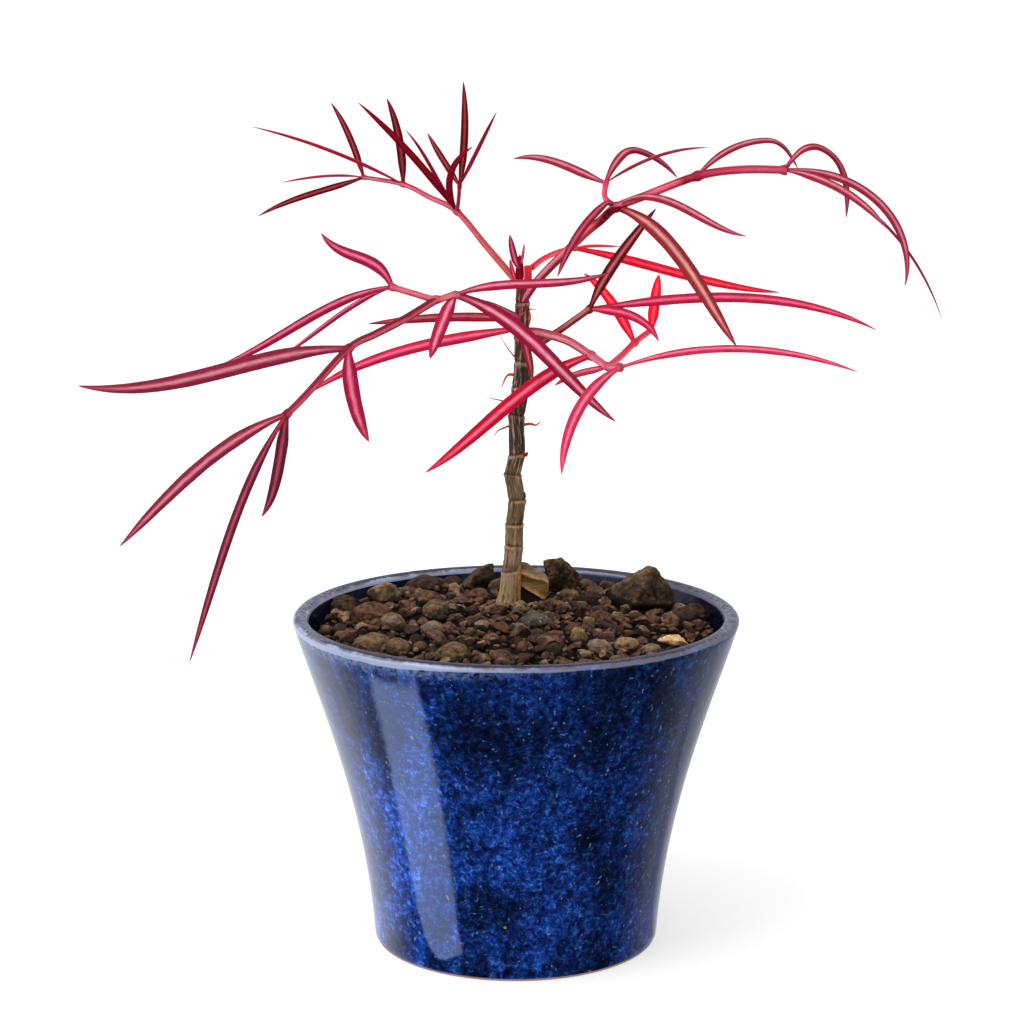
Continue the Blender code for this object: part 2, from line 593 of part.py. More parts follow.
SPRAYS = {
    "spray_top_left_inner": Spray(TOP_LEFT, {3: (
        Leaflet(40, -137, 48, bend=-10, sweep=-10, width=1.8, face=70),
        Leaflet(32, 122, 34, bend=35, curl=-45, width=1.2, face=5),
        Leaflet(25, -122, 42, bend=30, curl=-45, sweep=90, width=1.7),
    )}, side_stalk=TOP_LEFT_SIDE, side_leaflets=(
        Leaflet(28, -69, 67, bend=-10, curl=10, sweep=-30, width=1.9),
        Leaflet(31, 70, 32, bend=5, curl=-5, width=1.2, face=10),
        Leaflet(19, 124, 39, bend=-5, curl=10, width=1.6),
    )),
    "spray_top_left_middle": Spray(TOP_LEFT, {5: (
        Leaflet(43, 162, 26, bend=-15, width=2.2, face=0),
        Leaflet(25, -87, 63, curl=-10, sweep=-35, width=2.1),
    )}),
    "spray_top_left_tip": Spray(TOP_LEFT, {6: (
        Leaflet(21, 136, 67, bend=-5, curl=-10, sweep=20, width=1.7),
        Leaflet(29, 141, 4, bend=-25, curl=10, width=1.8, face=0),
        Leaflet(31, -148, -16, bend=20, curl=-30, width=1.6),
    )}, ends_here=True),
    "spray_arching_inner": Spray(ARCHING, {4: (
        Leaflet(28, -143, 83, bend=-25, sweep=25, width=2.0, face=60, fold=110, fold_at=0.05),
        Leaflet(58, -50, -6, bend=-95, curl=75, sweep=-20, width=3.4),
        Leaflet(44, -46, 34, bend=-165, curl=130, sweep=-5, face=50, width=2.4),
    )}, side_stalk=ARCHING_SIDE, side_leaflets=(
        Leaflet(32, 132, 11, bend=30, curl=-55, sweep=5, width=2.3, face=60),
        Leaflet(27, 50, 60, bend=-75, sweep=-30, width=2.2, face=50, fold=35, fold_at=0.4),
        Leaflet(27, -19, 35, bend=-25, curl=-10, width=2.0, face=10),
    )),
    "spray_arching_middle": Spray(ARCHING, {6: (
        Leaflet(35, 38, 41, bend=-65, sweep=-10, width=1.9, face=50, fold=35, fold_at=0.75),
    )}),
    "spray_arching_tip": Spray(ARCHING, {8: (
        Leaflet(32, 9, 61, bend=-130, sweep=55, width=2.0, face=50, fold=35, fold_at=0.25),
        Leaflet(33, -37, -6, bend=-30, sweep=-20, width=2.3, face=50),
        Leaflet(59, 13, -12, bend=-65, curl=10, sweep=15, width=1.8, face=10),
        Leaflet(45, 0, 2, bend=-65, curl=-40, sweep=-20, face=50),
    )}, ends_here=True),
    "spray_left_near": Spray(LEFT, {3: (
        Leaflet(38, 15, 19, bend=-75, curl=75, face=55, width=2.5),
        Leaflet(54, 25, -16, bend=-90, curl=70, width=3.6),
        Leaflet(23, -111, -30, bend=-15, curl=15, sweep=10, width=3.2),
    ), 4: ()}, branch=DROOPING),
    "spray_left_tip": Spray(LEFT, {6: (
        Leaflet(27, 129, 59, bend=-185, curl=175, sweep=15, width=2.8, face=75),
        Leaflet(49, 166, -8, bend=-80, curl=70, width=2.6, face=50),
        Leaflet(47, 133, -16, bend=-40, curl=30, width=2.0, face=50),
    )}, ends_here=True),
    "spray_drooping_middle": Spray(DROOPING, {3: (
        Leaflet(62, -163, 3, bend=-70, curl=80, width=3.5),
        Leaflet(31, -87, -36, bend=-5, curl=15, sweep=20, width=3.5),
    )}),
    "spray_drooping_tip": Spray(DROOPING, {5: (
        Leaflet(51, 172, -21, bend=-55, curl=30, width=3.0),
        Leaflet(60, -145, -49, bend=-45, curl=35, sweep=25, width=2.1),
        Leaflet(29, 112, -60, bend=-45, curl=60, sweep=20, width=2.7),
    )}, ends_here=True),
    "spray_right": Spray(RIGHT, {3: (
        Leaflet(33, -54, 59, bend=-30, curl=20, sweep=20, width=2.6),
        Leaflet(71, -14, 9, curl=-35, width=2.5, face=70),
        Leaflet(21, -20, -1, bend=5, curl=-65, sweep=-20, width=2.4, face=70),
    )}, ends_here=True),
    "spray_lower_right": Spray(LOWER_RIGHT, {
        3: (Leaflet(58, -143, -8, bend=-70, curl=60, sweep=10, width=3.4),),
        4: (Leaflet(26, 121, -15, bend=15, curl=-30, width=2.3, face=60),),
        5: (Leaflet(59, -16, 21, bend=-40, face=50, width=2.2),
            Leaflet(54, -122, -9, bend=-30, curl=15, sweep=30, width=2.7)),
    }, ends_here=True, branch=RED_TWIG),
    "spray_red_twig": Spray(RED_TWIG, {
        2: (Leaflet(27, 113, 37, bend=15, curl=-30, sweep=20, width=2.6),),
        3: (Leaflet(20, 80, 38, bend=20, curl=-30, width=2.8),),
    }, ends_here=True),
    "spray_back": Spray(BACK, {3: (
        Leaflet(72, 36, -11, bend=-20, curl=25, width=2.5),
        Leaflet(36, 69, 0, bend=-15, curl=10, width=2.0, face=10),
    )}, ends_here=True),
}

# Single leaflets that spring straight from the stem: root inside it, and the blade
STEM_LEAFLETS = {
    "leaflet_behind_upper": (
        (1.4, 6.0, 155.1), Leaflet(56, 136, 1, bend=-20, curl=10, width=2.7, face=60)),
    "leaflet_behind_lower": (
        (1.4, 6.2, 153.3), Leaflet(60, 159, -11, bend=5, curl=-30, sweep=10, width=2.9, face=70)),
    "bract_front": (
        (1.4, 6.0, 154.6), Leaflet(15, -87, -51, bend=-25, curl=-10, sweep=65, width=2.2)),
}

# Stretches of bare stalk: the stalk, the joint each starts after (or None at its root) and ends before
LIMBS = {
    "stalk_top_left": (TOP_LEFT, None, 3),
    "stalk_top_left_middle": (TOP_LEFT, 3, 5),
    "stalk_top_left_outer": (TOP_LEFT, 5, 6),
    "stalk_arching": (ARCHING, None, 4),
    "stalk_arching_middle": (ARCHING, 4, 6),
    "stalk_arching_outer": (ARCHING, 6, 8),
    "stalk_left": (LEFT, None, 3),
    "stalk_left_outer": (LEFT, 4, 6),
    "stalk_drooping": (DROOPING, 0, 3),
    "stalk_drooping_outer": (DROOPING, 3, 5),
    "stalk_right": (RIGHT, None, 3),
    "stalk_lower_right": (LOWER_RIGHT, None, 3),
    "stalk_red_twig": (RED_TWIG, 0, 2),
    "stalk_back_post": (BACK_POST, None, None),
    "stalk_back": (BACK, None, 3),
}


def build_limb(name, limb, material, parent, stem_guide):
    stalk, after, before = limb
    start = 0.0 if after is None else stalk.marks[after] + COLLAR_ABOVE + GAP
    end = stalk.along[-1] if before is None else stalk.marks[before] - COLLAR_BELOW - GAP
    obj = make_object(name, skin(stalk.piece(start, end)), stalk.at(start), material, parent)
    if after is None:
        cut_clear(obj, stem_guide)


def build_spray(name, spray, material, parent):
    stalk = spray.stalk
    first = min(spray.joints)
    last = max(spray.joints)
    start = stalk.marks[first] - COLLAR_BELOW
    end = stalk.marks[last] + (END_CAP if spray.ends_here else COLLAR_ABOVE)
    origin = stalk.at(stalk.marks[first])
    meshes = []
    for joint, leaflets in spray.joints.items():
        centre = stalk.at(stalk.marks[joint])
        meshes += [leaflet_mesh(centre, leaflet) for leaflet in leaflets]
    if spray.side_stalk:
        side = spray.side_stalk
        length = side.along[-1]
        meshes.append(skin(side.piece(0, length + END_CAP, joints=(length,))))
        meshes += [leaflet_mesh(side.line[-1], leaflet) for leaflet in spray.side_leaflets]
    if spray.branch:
        meshes.append(skin(spray.branch.piece(0, COLLAR_ABOVE)))
    joints = [stalk.marks[joint] for joint in spray.joints]
    base = make_object(name, skin(stalk.piece(start, end, joints)), origin, material, parent)
    fuse(base, [make_object(name + "_part", mesh, origin, material, parent) for mesh in meshes])


def build_plant(materials, parent):
    clear_of_flats = GAP / math.cos(math.pi / STEM_SIDES)
    guide = skin(stem_rings(grow=clear_of_flats + GUIDE_SLACK))
    stem_guide = make_guide("stem_guide", guide, materials["bark"], parent)
    make_object("trunk", skin(stem_rings()), (*FOOT, FOOT_LEVEL), materials["bark"], parent)
    build_growing_tip(materials["dark_leaf"], parent, stem_guide)
    for name, limb in LIMBS.items():
        build_limb(name, limb, materials["stalk"], parent, stem_guide)
    for name, spray in SPRAYS.items():
        build_spray(name, spray, materials["leaf"], parent)
    for name, (root, leaflet) in STEM_LEAFLETS.items():
        blade = make_object(name, leaflet_mesh(root, leaflet), root, materials["leaf"], parent)
        cut_clear(blade, stem_guide)
    return stem_guide


def build_planting(materials, parent, stem_guide):
    gravel = gravel_points()
    make_object("soil", soil_mesh(gravel), (0, 0, SOIL_EDGE), materials["soil"], parent)
    soil_guide = make_guide("soil_guide", soil_mesh(gravel, GAP), materials["soil"], parent)
    for name, centre, *shape in STONES:
        mesh = stone_mesh(centre, *shape)
        stone = make_object(name, mesh, centre, materials["stone"], parent, smooth_angle=SMOOTH_STONE)
        cut_clear(stone, soil_guide)
    stub = make_object("old_shoot_stub", stub_mesh(), (2, FOOT[1], 86), materials["stub"], parent)
    cut_clear(stub, soil_guide)
    cut_clear(stub, stem_guide)


def main():
    for obj in list(bpy.data.objects):
        bpy.data.objects.remove(obj)
    materials = {
        "glaze": make_material("cobalt_glaze", (0.012, 0.045, 0.25), 0.12),
        "soil": make_material("gravel_soil", (0.06, 0.035, 0.022), 0.95),
        "stone": make_material("grey_brown_stone", (0.10, 0.075, 0.055), 0.9),
        "bark": make_material("brown_bark", (0.13, 0.085, 0.05), 0.8),
        "stub": make_material("ochre_husk", (0.26, 0.14, 0.05), 0.6),
        "stalk": make_material("rose_stalk", (0.55, 0.09, 0.11), 0.4),
        "leaf": make_material("crimson_leaflet", (0.42, 0.02, 0.08), 0.35),
        "dark_leaf": make_material("maroon_tip", (0.16, 0.02, 0.03), 0.45),
    }
    planter = bpy.data.objects.new("planter", None)
    plant = bpy.data.objects.new("plant", None)
    for empty in (planter, plant):
        bpy.context.scene.collection.objects.link(empty)
    plant.parent = planter
    plant.location = Vector((*FOOT, FOOT_LEVEL)) * MM
    build_pot(materials["glaze"], planter)
    stem_guide = build_plant(materials, plant)
    build_planting(materials, planter, stem_guide)
    bpy.context.view_layer.update()


main()
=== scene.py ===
# The looks of the potted cyphostemma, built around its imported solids.
#
# Lengths are in millimetres and become metres where a mesh is made. Colours are red, green
# and blue from 0 to 255, as a screen shows them. Headings are in degrees: 0 to the right,
# 90 to the back, 180 to the left, -90 to the front.
import itertools
import math
import random
from dataclasses import dataclass, field

import bmesh
import bpy
import numpy as np
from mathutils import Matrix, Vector, noise
from mathutils.bvhtree import BVHTree


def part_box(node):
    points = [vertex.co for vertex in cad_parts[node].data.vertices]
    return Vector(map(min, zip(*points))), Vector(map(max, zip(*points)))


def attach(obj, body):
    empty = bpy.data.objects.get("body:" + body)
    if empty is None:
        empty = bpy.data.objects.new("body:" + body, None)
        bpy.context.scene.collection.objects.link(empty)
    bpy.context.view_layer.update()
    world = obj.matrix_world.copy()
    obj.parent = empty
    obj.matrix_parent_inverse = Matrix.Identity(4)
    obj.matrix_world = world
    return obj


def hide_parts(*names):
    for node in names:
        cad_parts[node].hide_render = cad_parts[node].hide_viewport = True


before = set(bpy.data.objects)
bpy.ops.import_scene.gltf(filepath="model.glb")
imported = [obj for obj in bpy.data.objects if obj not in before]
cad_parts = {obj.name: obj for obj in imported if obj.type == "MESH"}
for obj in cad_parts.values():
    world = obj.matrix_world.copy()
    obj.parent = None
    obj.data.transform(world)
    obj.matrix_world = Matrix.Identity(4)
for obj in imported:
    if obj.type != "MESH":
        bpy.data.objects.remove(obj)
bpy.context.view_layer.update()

MM = 0.001

# Camera
CAMERA_PLACE = (-0.98, -625.2, 232.05)
CAMERA_PITCH = 11.18        # degrees below level
CAMERA_LENS = 90.93
CAMERA_SENSOR = 36.0
CAMERA_CLIP = (0.01, 50)    # metres

# Pot
POT_HEIGHT = 83.4
POT_CURVE = ((35.6, 0), (38.0, 36), (49.6, 63), (55.8, 83.4))   # outer wall: radius, height
POT_WALL = 4.0
POT_FLOOR = 5.0
POT_CURVE_STEPS = 120
POT_FOOT_ROUND = 1.0
POT_FOOT_EDGE = (0.4, 0.12)     # half way round the foot's edge: in from the wall, and up
LIP_HEIGHT = 1.5
LIP_RINGS = 14
POT_SIDES = 144
POT_WALL_RINGS = 64
POT_INNER_RINGS = 24

# Soil
SOIL_EDGE = 77.5
SOIL_CROWN = 81.7
SOIL_RADIUS = 51.2
SOIL_BUMP = 0.5
SOIL_WAVES = (3.4, 5.2)
FOOT_FLAT = 6.0             # the soil is flat this far from the stem's centre
FOOT_BLEND = 5.0            # and meets the heap over this width

# Stem
FOOT = (-1.8, 15.0)
FOOT_LEVEL = 81.5
STEM_HEIGHT = 83.0
STEM_LEAN = 10.0
STEM_ROOT = 2.5
STEM_TOP = 1.75
FLARE = 1.1
FLARE_SHIFT = 0.5           # most of the flare is to the left
FLARE_HEIGHT = 2.2
STEM_SIDES = 56
STEM_STEP = 0.25            # height between rings
# Leaf scars: height above the foot, sideways swing of the stem, and how much it swells there
SCARS = ((0, 0.0, 0.0), (9, 0.7, 0.1), (15.5, 1.3, 0.0), (21.5, 1.4, 0.0), (27.5, 2.2, 0.0),
         (34.5, 0.9, 0.0), (39.5, 2.1, 0.0), (49.5, 1.9, 0.0), (57, 3.1, 0.4), (63, 3.5, 0.2),
         (69.5, 3.2, 0.0), (78, 3.4, 0.0), (83, 3.5, 0.0))

# Stalks and leaflets
STALK_SIDES = 18
STALK_STEP = 0.6            # spacing of rings along a stalk
STALK_FEWEST = 4            # rings on the shortest stalk
STALK_LINE = 0.05           # depth of the fine lines along a stalk, against its radius
STALK_GRAIN = (2.5, 9)      # lines round it, and their length
FIBRE_SPREAD = 1.6          # bark and stalk fibres are this much finer across than along
SEED_STEP = 9               # how far apart two leaflets' or stalks' fibres are taken
STALK_UP = (0, 0.01, 1)     # up, tipped a little so that an upright stalk has flanks too
KNOB = 0.35                 # swelling of a joint against the stalk's radius
KNOB_REACH = 1.1            # how far the swelling runs along the stalk
END_CAP = 0.5               # stalk past the joint that ends it
PATH_STEPS = 192
FOLD_SPAN = 0.2
LEAFLET_RINGS = 56
LEAFLET_SIDES = 20
LEAFLET_ROOT = 0.45
LEAFLET_SWELL = 0.28
LEAFLET_TAPER = 0.3
LEAFLET_POINT = 3.0
LEAFLET_BLUNT = 0.8
LEAFLET_TIP = 0.995
LEAFLET_THICK = 0.42
LEAFLET_EDGE = 0.5          # above 0 the section's edge is sharper than an ellipse's
LEAFLET_CHANNEL = 0.2       # how deep the upper side is channelled, against its thickness
CHANNEL_WIDTH = 0.3
LEAFLET_WANDER = 0.04       # uneven width along a leaflet
WANDER_GRAIN = 5
ACROSS = (0.31, 0.92, 0.24)     # no stalk or horn starts in this direction


@dataclass
class Leaflet:
    """A fleshy leaflet: its tone and its path from joint to tip, as in the solids."""
    tone: str
    length: float
    heading: float
    rise: float
    bend: float = 0
    curl: float = 0
    sweep: float = 0
    width: float = 2.3
    face: float = 80
    fold: float = 0
    fold_at: float = 0.5


@dataclass
class Stalk:
    """A round stalk through its points, with the joints that swell and its colours."""
    points: tuple
    root: float
    tip: float
    joints: tuple
    tone: str
    fade: float = 1.0
    line: np.ndarray = field(init=False)
    along: np.ndarray = field(init=False)
    marks: list = field(init=False)

    def __post_init__(self):
        self.line, knots = smooth_line(self.points)
        steps = np.linalg.norm(np.diff(self.line, axis=0), axis=1)
        self.along = np.concatenate([[0.0], np.cumsum(steps)])
        self.marks = [self.along[k] for k in knots]

    def at(self, distance):
        """The point at a distance from the root, straight on past the tip."""
        past = max(0.0, distance - self.along[-1])
        point = np.array([np.interp(distance, self.along, self.line[:, k]) for k in range(3)])
        return point + past * unit(self.line[-1] - self.line[-2])

    def radius(self, distance):
        left = max(0.0, 1.0 - distance / self.along[-1])
        return self.tip + (self.root - self.tip) * left ** self.fade

    def knob(self, distance):
        """How much of a joint's swelling there is at a distance from the root."""
        reaches = [1 - ((distance - self.marks[j]) / KNOB_REACH) ** 2 for j in self.joints]
        return max([0.0, *reaches])


def smooth_line(points, samples=12):
    """A Catmull-Rom curve through the points, and the index of each point on it."""
    p = np.array(points, float)
    p = np.vstack([2 * p[0] - p[1], p, 2 * p[-1] - p[-2]])
    line = [p[1]]
    for i in range(1, len(p) - 2):
        before, start, end, after = p[i - 1:i + 3]
        for t in np.linspace(0, 1, samples + 1)[1:]:
            line.append(0.5 * (2 * start + (end - before) * t
                               + (2 * before - 5 * start + 4 * end - after) * t ** 2
                               + (3 * start - before - 3 * end + after) * t ** 3))
    return np.array(line), range(0, len(line), samples)


def unit(vector):
    return vector / np.linalg.norm(vector)


def tangents(centres):
    slopes = np.gradient(centres, axis=0)
    return slopes / np.linalg.norm(slopes, axis=1)[:, None]


def turns(count):
    """Equal turns round a circle, in radians."""
    return [2 * math.pi * k / count for k in range(count)]


def wave(x, y, z):
    """Smooth noise from about -1 to 1 at a place in units of its own grain."""
    return noise.noise(Vector((x, y, z)))


# Meshes
class Surface:
    """Points, faces, material numbers and two values at each point, gathered for one piece.

    Form holds three shares from 0 to 1 that the piece's materials read. Grain is a place that
    runs with the surface, in millimetres, for fibres and flecks.
    """
    def __init__(self):
        self.points = []
        self.faces = []
        self.numbers = []
        self.form = []
        self.grain = []
        self.count = 0

    def add(self, points, faces, number=0, form=None, grain=None):
        points = np.asarray(points, float)
        self.points.append(points)
        self.faces += [tuple(self.count + k for k in face) for face in faces]
        self.numbers += [number] * len(faces)
        self.form.append(np.zeros((len(points), 3)) if form is None else np.asarray(form, float))
        self.grain.append(points if grain is None else np.asarray(grain, float))
        self.count += len(points)

    def wrap(self, rings, number=0, form=None, grain=None, tip=None):
        """Add a closed tube, with form and grain given ring by ring."""
        form, grain = (None if rows is None else with_ends(rows) for rows in (form, grain))
        self.add(*tube(rings, tip), number, form, grain)

    def piece(self, name, materials, slot, stands_for=(), crisp=None):
        mesh = bpy.data.meshes.new(name)
        mesh.from_pydata((np.vstack(self.points) * MM).tolist(), [], self.faces)
        for key, rows in (("form", self.form), ("grain", self.grain)):
            values = mesh.attributes.new(key, 'FLOAT_VECTOR', 'POINT')
            values.data.foreach_set("vector", np.vstack(rows).astype(np.float32).ravel())
        for material in materials:
            mesh.materials.append(material)
        mesh.polygons.foreach_set("material_index", self.numbers)
        mesh.shade_smooth()
        if crisp:
            mesh.set_sharp_from_angle(angle=math.radians(crisp))
        mesh.update()
        place(linked(name, mesh), slot, stands_for)


def linked(name, data):
    """A new object in the scene."""
    obj = bpy.data.objects.new(name, data)
    bpy.context.scene.collection.objects.link(obj)
    return obj


def place(obj, slot, stands_for=()):
    """Tie a piece to the one body and hide the solids it stands for. The slot is not used."""
    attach(obj, "root")
    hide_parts(*stands_for)


def tube(rings, tip=None):
    """Points and faces of a closed tube through rings of equal count."""
    rings = np.asarray(rings, float)
    count, sides = rings.shape[:2]
    end = rings[-1].mean(axis=0) if tip is None else tip
    points = np.vstack([rings.reshape(-1, 3), rings[0].mean(axis=0), end])
    last = (count - 1) * sides
    faces = []
    for k in range(sides):
        n = (k + 1) % sides
        faces += [(row + k, row + n, row + sides + n, row + sides + k)
                  for row in range(0, last, sides)]
        faces.append((n, k, count * sides))
        faces.append((last + k, last + n, count * sides + 1))
    return points, faces


def with_ends(values):
    """Values of a tube's rings, with the first and last ring's middles for its two end points."""
    values = np.asarray(values, float)
    ends = [values[0].mean(axis=0), values[-1].mean(axis=0)]
    return np.vstack([values.reshape(-1, 3), *ends])


# Materials
SHARE_LIT = 0.86            # base colour that shows as a screen colour under this room's light


def tint(red, green, blue):
    """The base colour that shows as this screen colour."""
    shares = [value / 255 for value in (red, green, blue)]
    linear = [s / 12.92 if s <= 0.04045 else ((s + 0.055) / 1.055) ** 2.4 for s in shares]
    return (*(SHARE_LIT * value for value in linear), 1.0)


def grey(value):
    return (value, value, value, 1.0)


def feed(tree, socket, value):
    """Give a socket a plain value or the output of another node."""
    if isinstance(value, bpy.types.NodeSocket):
        tree.links.new(value, socket)
    else:
        socket.default_value = value


def add_node(tree, kind, inputs=None, **settings):
    node = tree.nodes.new("ShaderNode" + kind)
    for key, value in settings.items():
        setattr(node, key, value)
    for key, value in (inputs or {}).items():
        feed(tree, node.inputs[key], value)
    return node


@dataclass
class Grain:
    """Noise for a material, with features about as long as size."""
    size: float
    detail: float
    roughness: float = 0.55
    distortion: float = 0.0
    stretch: tuple = None


NOISE_LOW = 0.35            # most of a noise's values lie between this and the high one
NOISE_MIDDLE = 0.5
NOISE_HIGH = 0.65


class Finish:
    """A node material in the making, with short ways to add the nodes used here."""
    def __init__(self, name, gloss):
        self.material = bpy.data.materials.new(name)
        self.material.use_nodes = True
        self.tree = self.material.node_tree
        self.shader = self.tree.nodes["Principled BSDF"]
        for socket, value in gloss.items():
            self.set(socket, value)
        self.place = self.add("TexCoord").outputs["Object"]

    def add(self, kind, inputs=None, **settings):
        return add_node(self.tree, kind, inputs, **settings)

    def set(self, socket, value):
        feed(self.tree, self.shader.inputs[socket], value)

    def apart(self, vector):
        return self.add("SeparateXYZ", {"Vector": vector}).outputs

    def carried(self, name):
        """What a piece's points carry under this name."""
        return self.add("Attribute", attribute_name=name).outputs["Vector"]

    def form(self):
        """The three shares that a piece's points carry."""
        return self.apart(self.carried("form"))

    def noise(self, grain, place=None):
        """Noise over the object, or over a place that is given in millimetres."""
        vector, per_length = (self.place, 1 / MM) if place is None else (place, 1.0)
        if grain.stretch:
            vector = self.add("Mapping", {"Vector": vector, "Scale": grain.stretch}).outputs[0]
        return self.add("TexNoise", {
            "Vector": vector, "Scale": per_length / grain.size, "Detail": grain.detail,
            "Roughness": grain.roughness, "Distortion": grain.distortion}).outputs["Fac"]

    def ramp(self, factor, stops):
        """Base colours along a factor, by (place, colour) stops."""
        node = self.add("ValToRGB", {"Fac": factor})
        elements = node.color_ramp.elements
        while len(elements) < len(stops):
            elements.new(0.5)
        for element, (position, colour) in zip(elements, stops):
            element.position = position
            element.color = colour
        return node.outputs["Color"]

    def tones(self, factor, stops):
        """Screen colours along a factor."""
        return self.ramp(factor, [(place, tint(*rgb)) for place, rgb in stops])

    def shades(self, factor, stops):
        """Greys along a factor."""
        return self.ramp(factor, [(place, grey(value)) for place, value in stops])

    def dealt(self, factor, deeper, colour, full=NOISE_HIGH):
        """A deeper colour where noise is low and another where it is high."""
        return self.tones(factor, ((NOISE_LOW, deeper), (full, colour)))

    def mix(self, factor, first, second, blend='MIX'):
        node = self.add("Mix", {0: factor, 6: first, 7: second}, data_type='RGBA', blend_type=blend)
        return node.outputs[2]

    def shaded(self, colour, shade):
        """A colour times a shade."""
        return self.mix(1.0, colour, shade, 'MULTIPLY')

    def maths(self, operation, first, second):
        return self.add("Math", {0: first, 1: second}, operation=operation).outputs[0]

    def times(self, first, second):
        return self.maths('MULTIPLY', first, second)

    def plus(self, first, second):
        return self.maths('ADD', first, second)

    def swing(self, factor, amount):
        """How far a noise is from its middle, times an amount."""
        return self.times(self.maths('SUBTRACT', factor, NOISE_MIDDLE), amount)

    def band(self, factor, low, high):
        """0 below low, 1 above high, smooth between them."""
        node = self.add("MapRange", {"Value": factor, "From Min": low, "From Max": high},
                        interpolation_type='SMOOTHSTEP')
        return node.outputs["Result"]

    def reach(self, place, span):
        """A band between two places in millimetres."""
        low, high = span
        return self.band(place, low * MM, high * MM)

    def bump(self, height, depth, below=None):
        """A bump of that depth in millimetres."""
        node = self.add("Bump", {"Height": height, "Distance": depth * MM})
        if below is not None:
            feed(self.tree, node.inputs["Normal"], below)
        return node.outputs["Normal"]


# Leaflet tones: edge, middle, ends and the other side; the middle tone is partly a paler midrib and partly
# a painted highlight
LEAF_TONES = {
    "wine": ((122, 2, 20), (140, 16, 42), (142, 15, 44), (104, 2, 17)),
    "maroon": ((102, 8, 16), (166, 68, 78), (140, 20, 44), (88, 6, 14)),
    "crimson": ((166, 4, 42), (184, 60, 92), (150, 8, 38), (132, 5, 34)),
    "pink_crimson": ((175, 30, 66), (210, 110, 140), (185, 45, 75), (148, 24, 55)),
    "plum_rose": ((146, 28, 50), (226, 124, 144), (152, 35, 58), (140, 28, 50)),
    "brown_rose": ((134, 36, 44), (214, 144, 136), (148, 32, 58), (116, 30, 40)),
    "rose": ((142, 34, 54), (216, 128, 144), (164, 44, 70), (132, 20, 42)),
    "mauve": ((130, 34, 58), (220, 128, 146), (154, 46, 74), (108, 28, 47)),
    "plum": ((134, 24, 40), (186, 82, 96), (146, 34, 52), (112, 18, 34)),
    "bright_orchid": ((158, 26, 60), (255, 162, 186), (168, 40, 70), (130, 22, 48)),
    "deep_mauve": ((104, 25, 44), (170, 78, 100), (150, 40, 65), (88, 20, 36)),
    "magenta": ((142, 20, 54), (222, 106, 140), (165, 33, 64), (118, 18, 44)),
    "orchid": ((162, 28, 60), (234, 136, 160), (150, 32, 54), (130, 24, 46)),
    "dark_salmon": ((108, 14, 24), (210, 115, 120), (115, 10, 24), (92, 10, 20)),
    "bright_crimson": ((190, 26, 62), (234, 106, 142), (196, 40, 76), (160, 22, 52)),
    "strong_crimson": ((192, 14, 48), (246, 112, 142), (214, 40, 72), (164, 14, 42)),
    "pink": ((195, 42, 78), (241, 125, 150), (215, 60, 90), (166, 34, 66)),
    # glowing_red stands for leaflets lit through from behind: its brightness is a painted glow
    "glowing_red": ((230, 14, 44), (255, 80, 106), (212, 18, 48), (202, 14, 40)),
    "bract": ((133, 34, 48), (200, 100, 110), (150, 50, 64), (112, 28, 40)),
}
LEAF_GLOSS = {"Roughness": 0.36, "Specular IOR Level": 0.02}
MIDRIB_HIGHLIGHT = (0.5, 1.06)   # the paler stripe starts and is full at these shares inward: partly midrib, partly painted highlight
STRIPE_WANDER = 0.35        # how unevenly it starts
OTHER_SIDE = (0.3, 0.7)     # a folded leaflet's other side starts and is full at these shares
OTHER_STRIPE = 0.45         # how much of the stripe the other side has
LEAF_ENDS = ((0.0, 0.9), (0.06, 0.6), (0.14, 0), (0.78, 0), (0.97, 0.9))
LEAF_FIBRES = Grain(0.5, 3, stretch=(1, 0.18, 1))
LEAF_MOTTLE = Grain(0.9, 5, 0.65, stretch=(1, 0.4, 1))
LEAF_SHADES = ((0.3, 0.8), (0.7, 1.12))
LEAF_ROUGH = (0.24, 0.2)    # least roughness, and what the fibres add
LEAF_RELIEF = 0.05
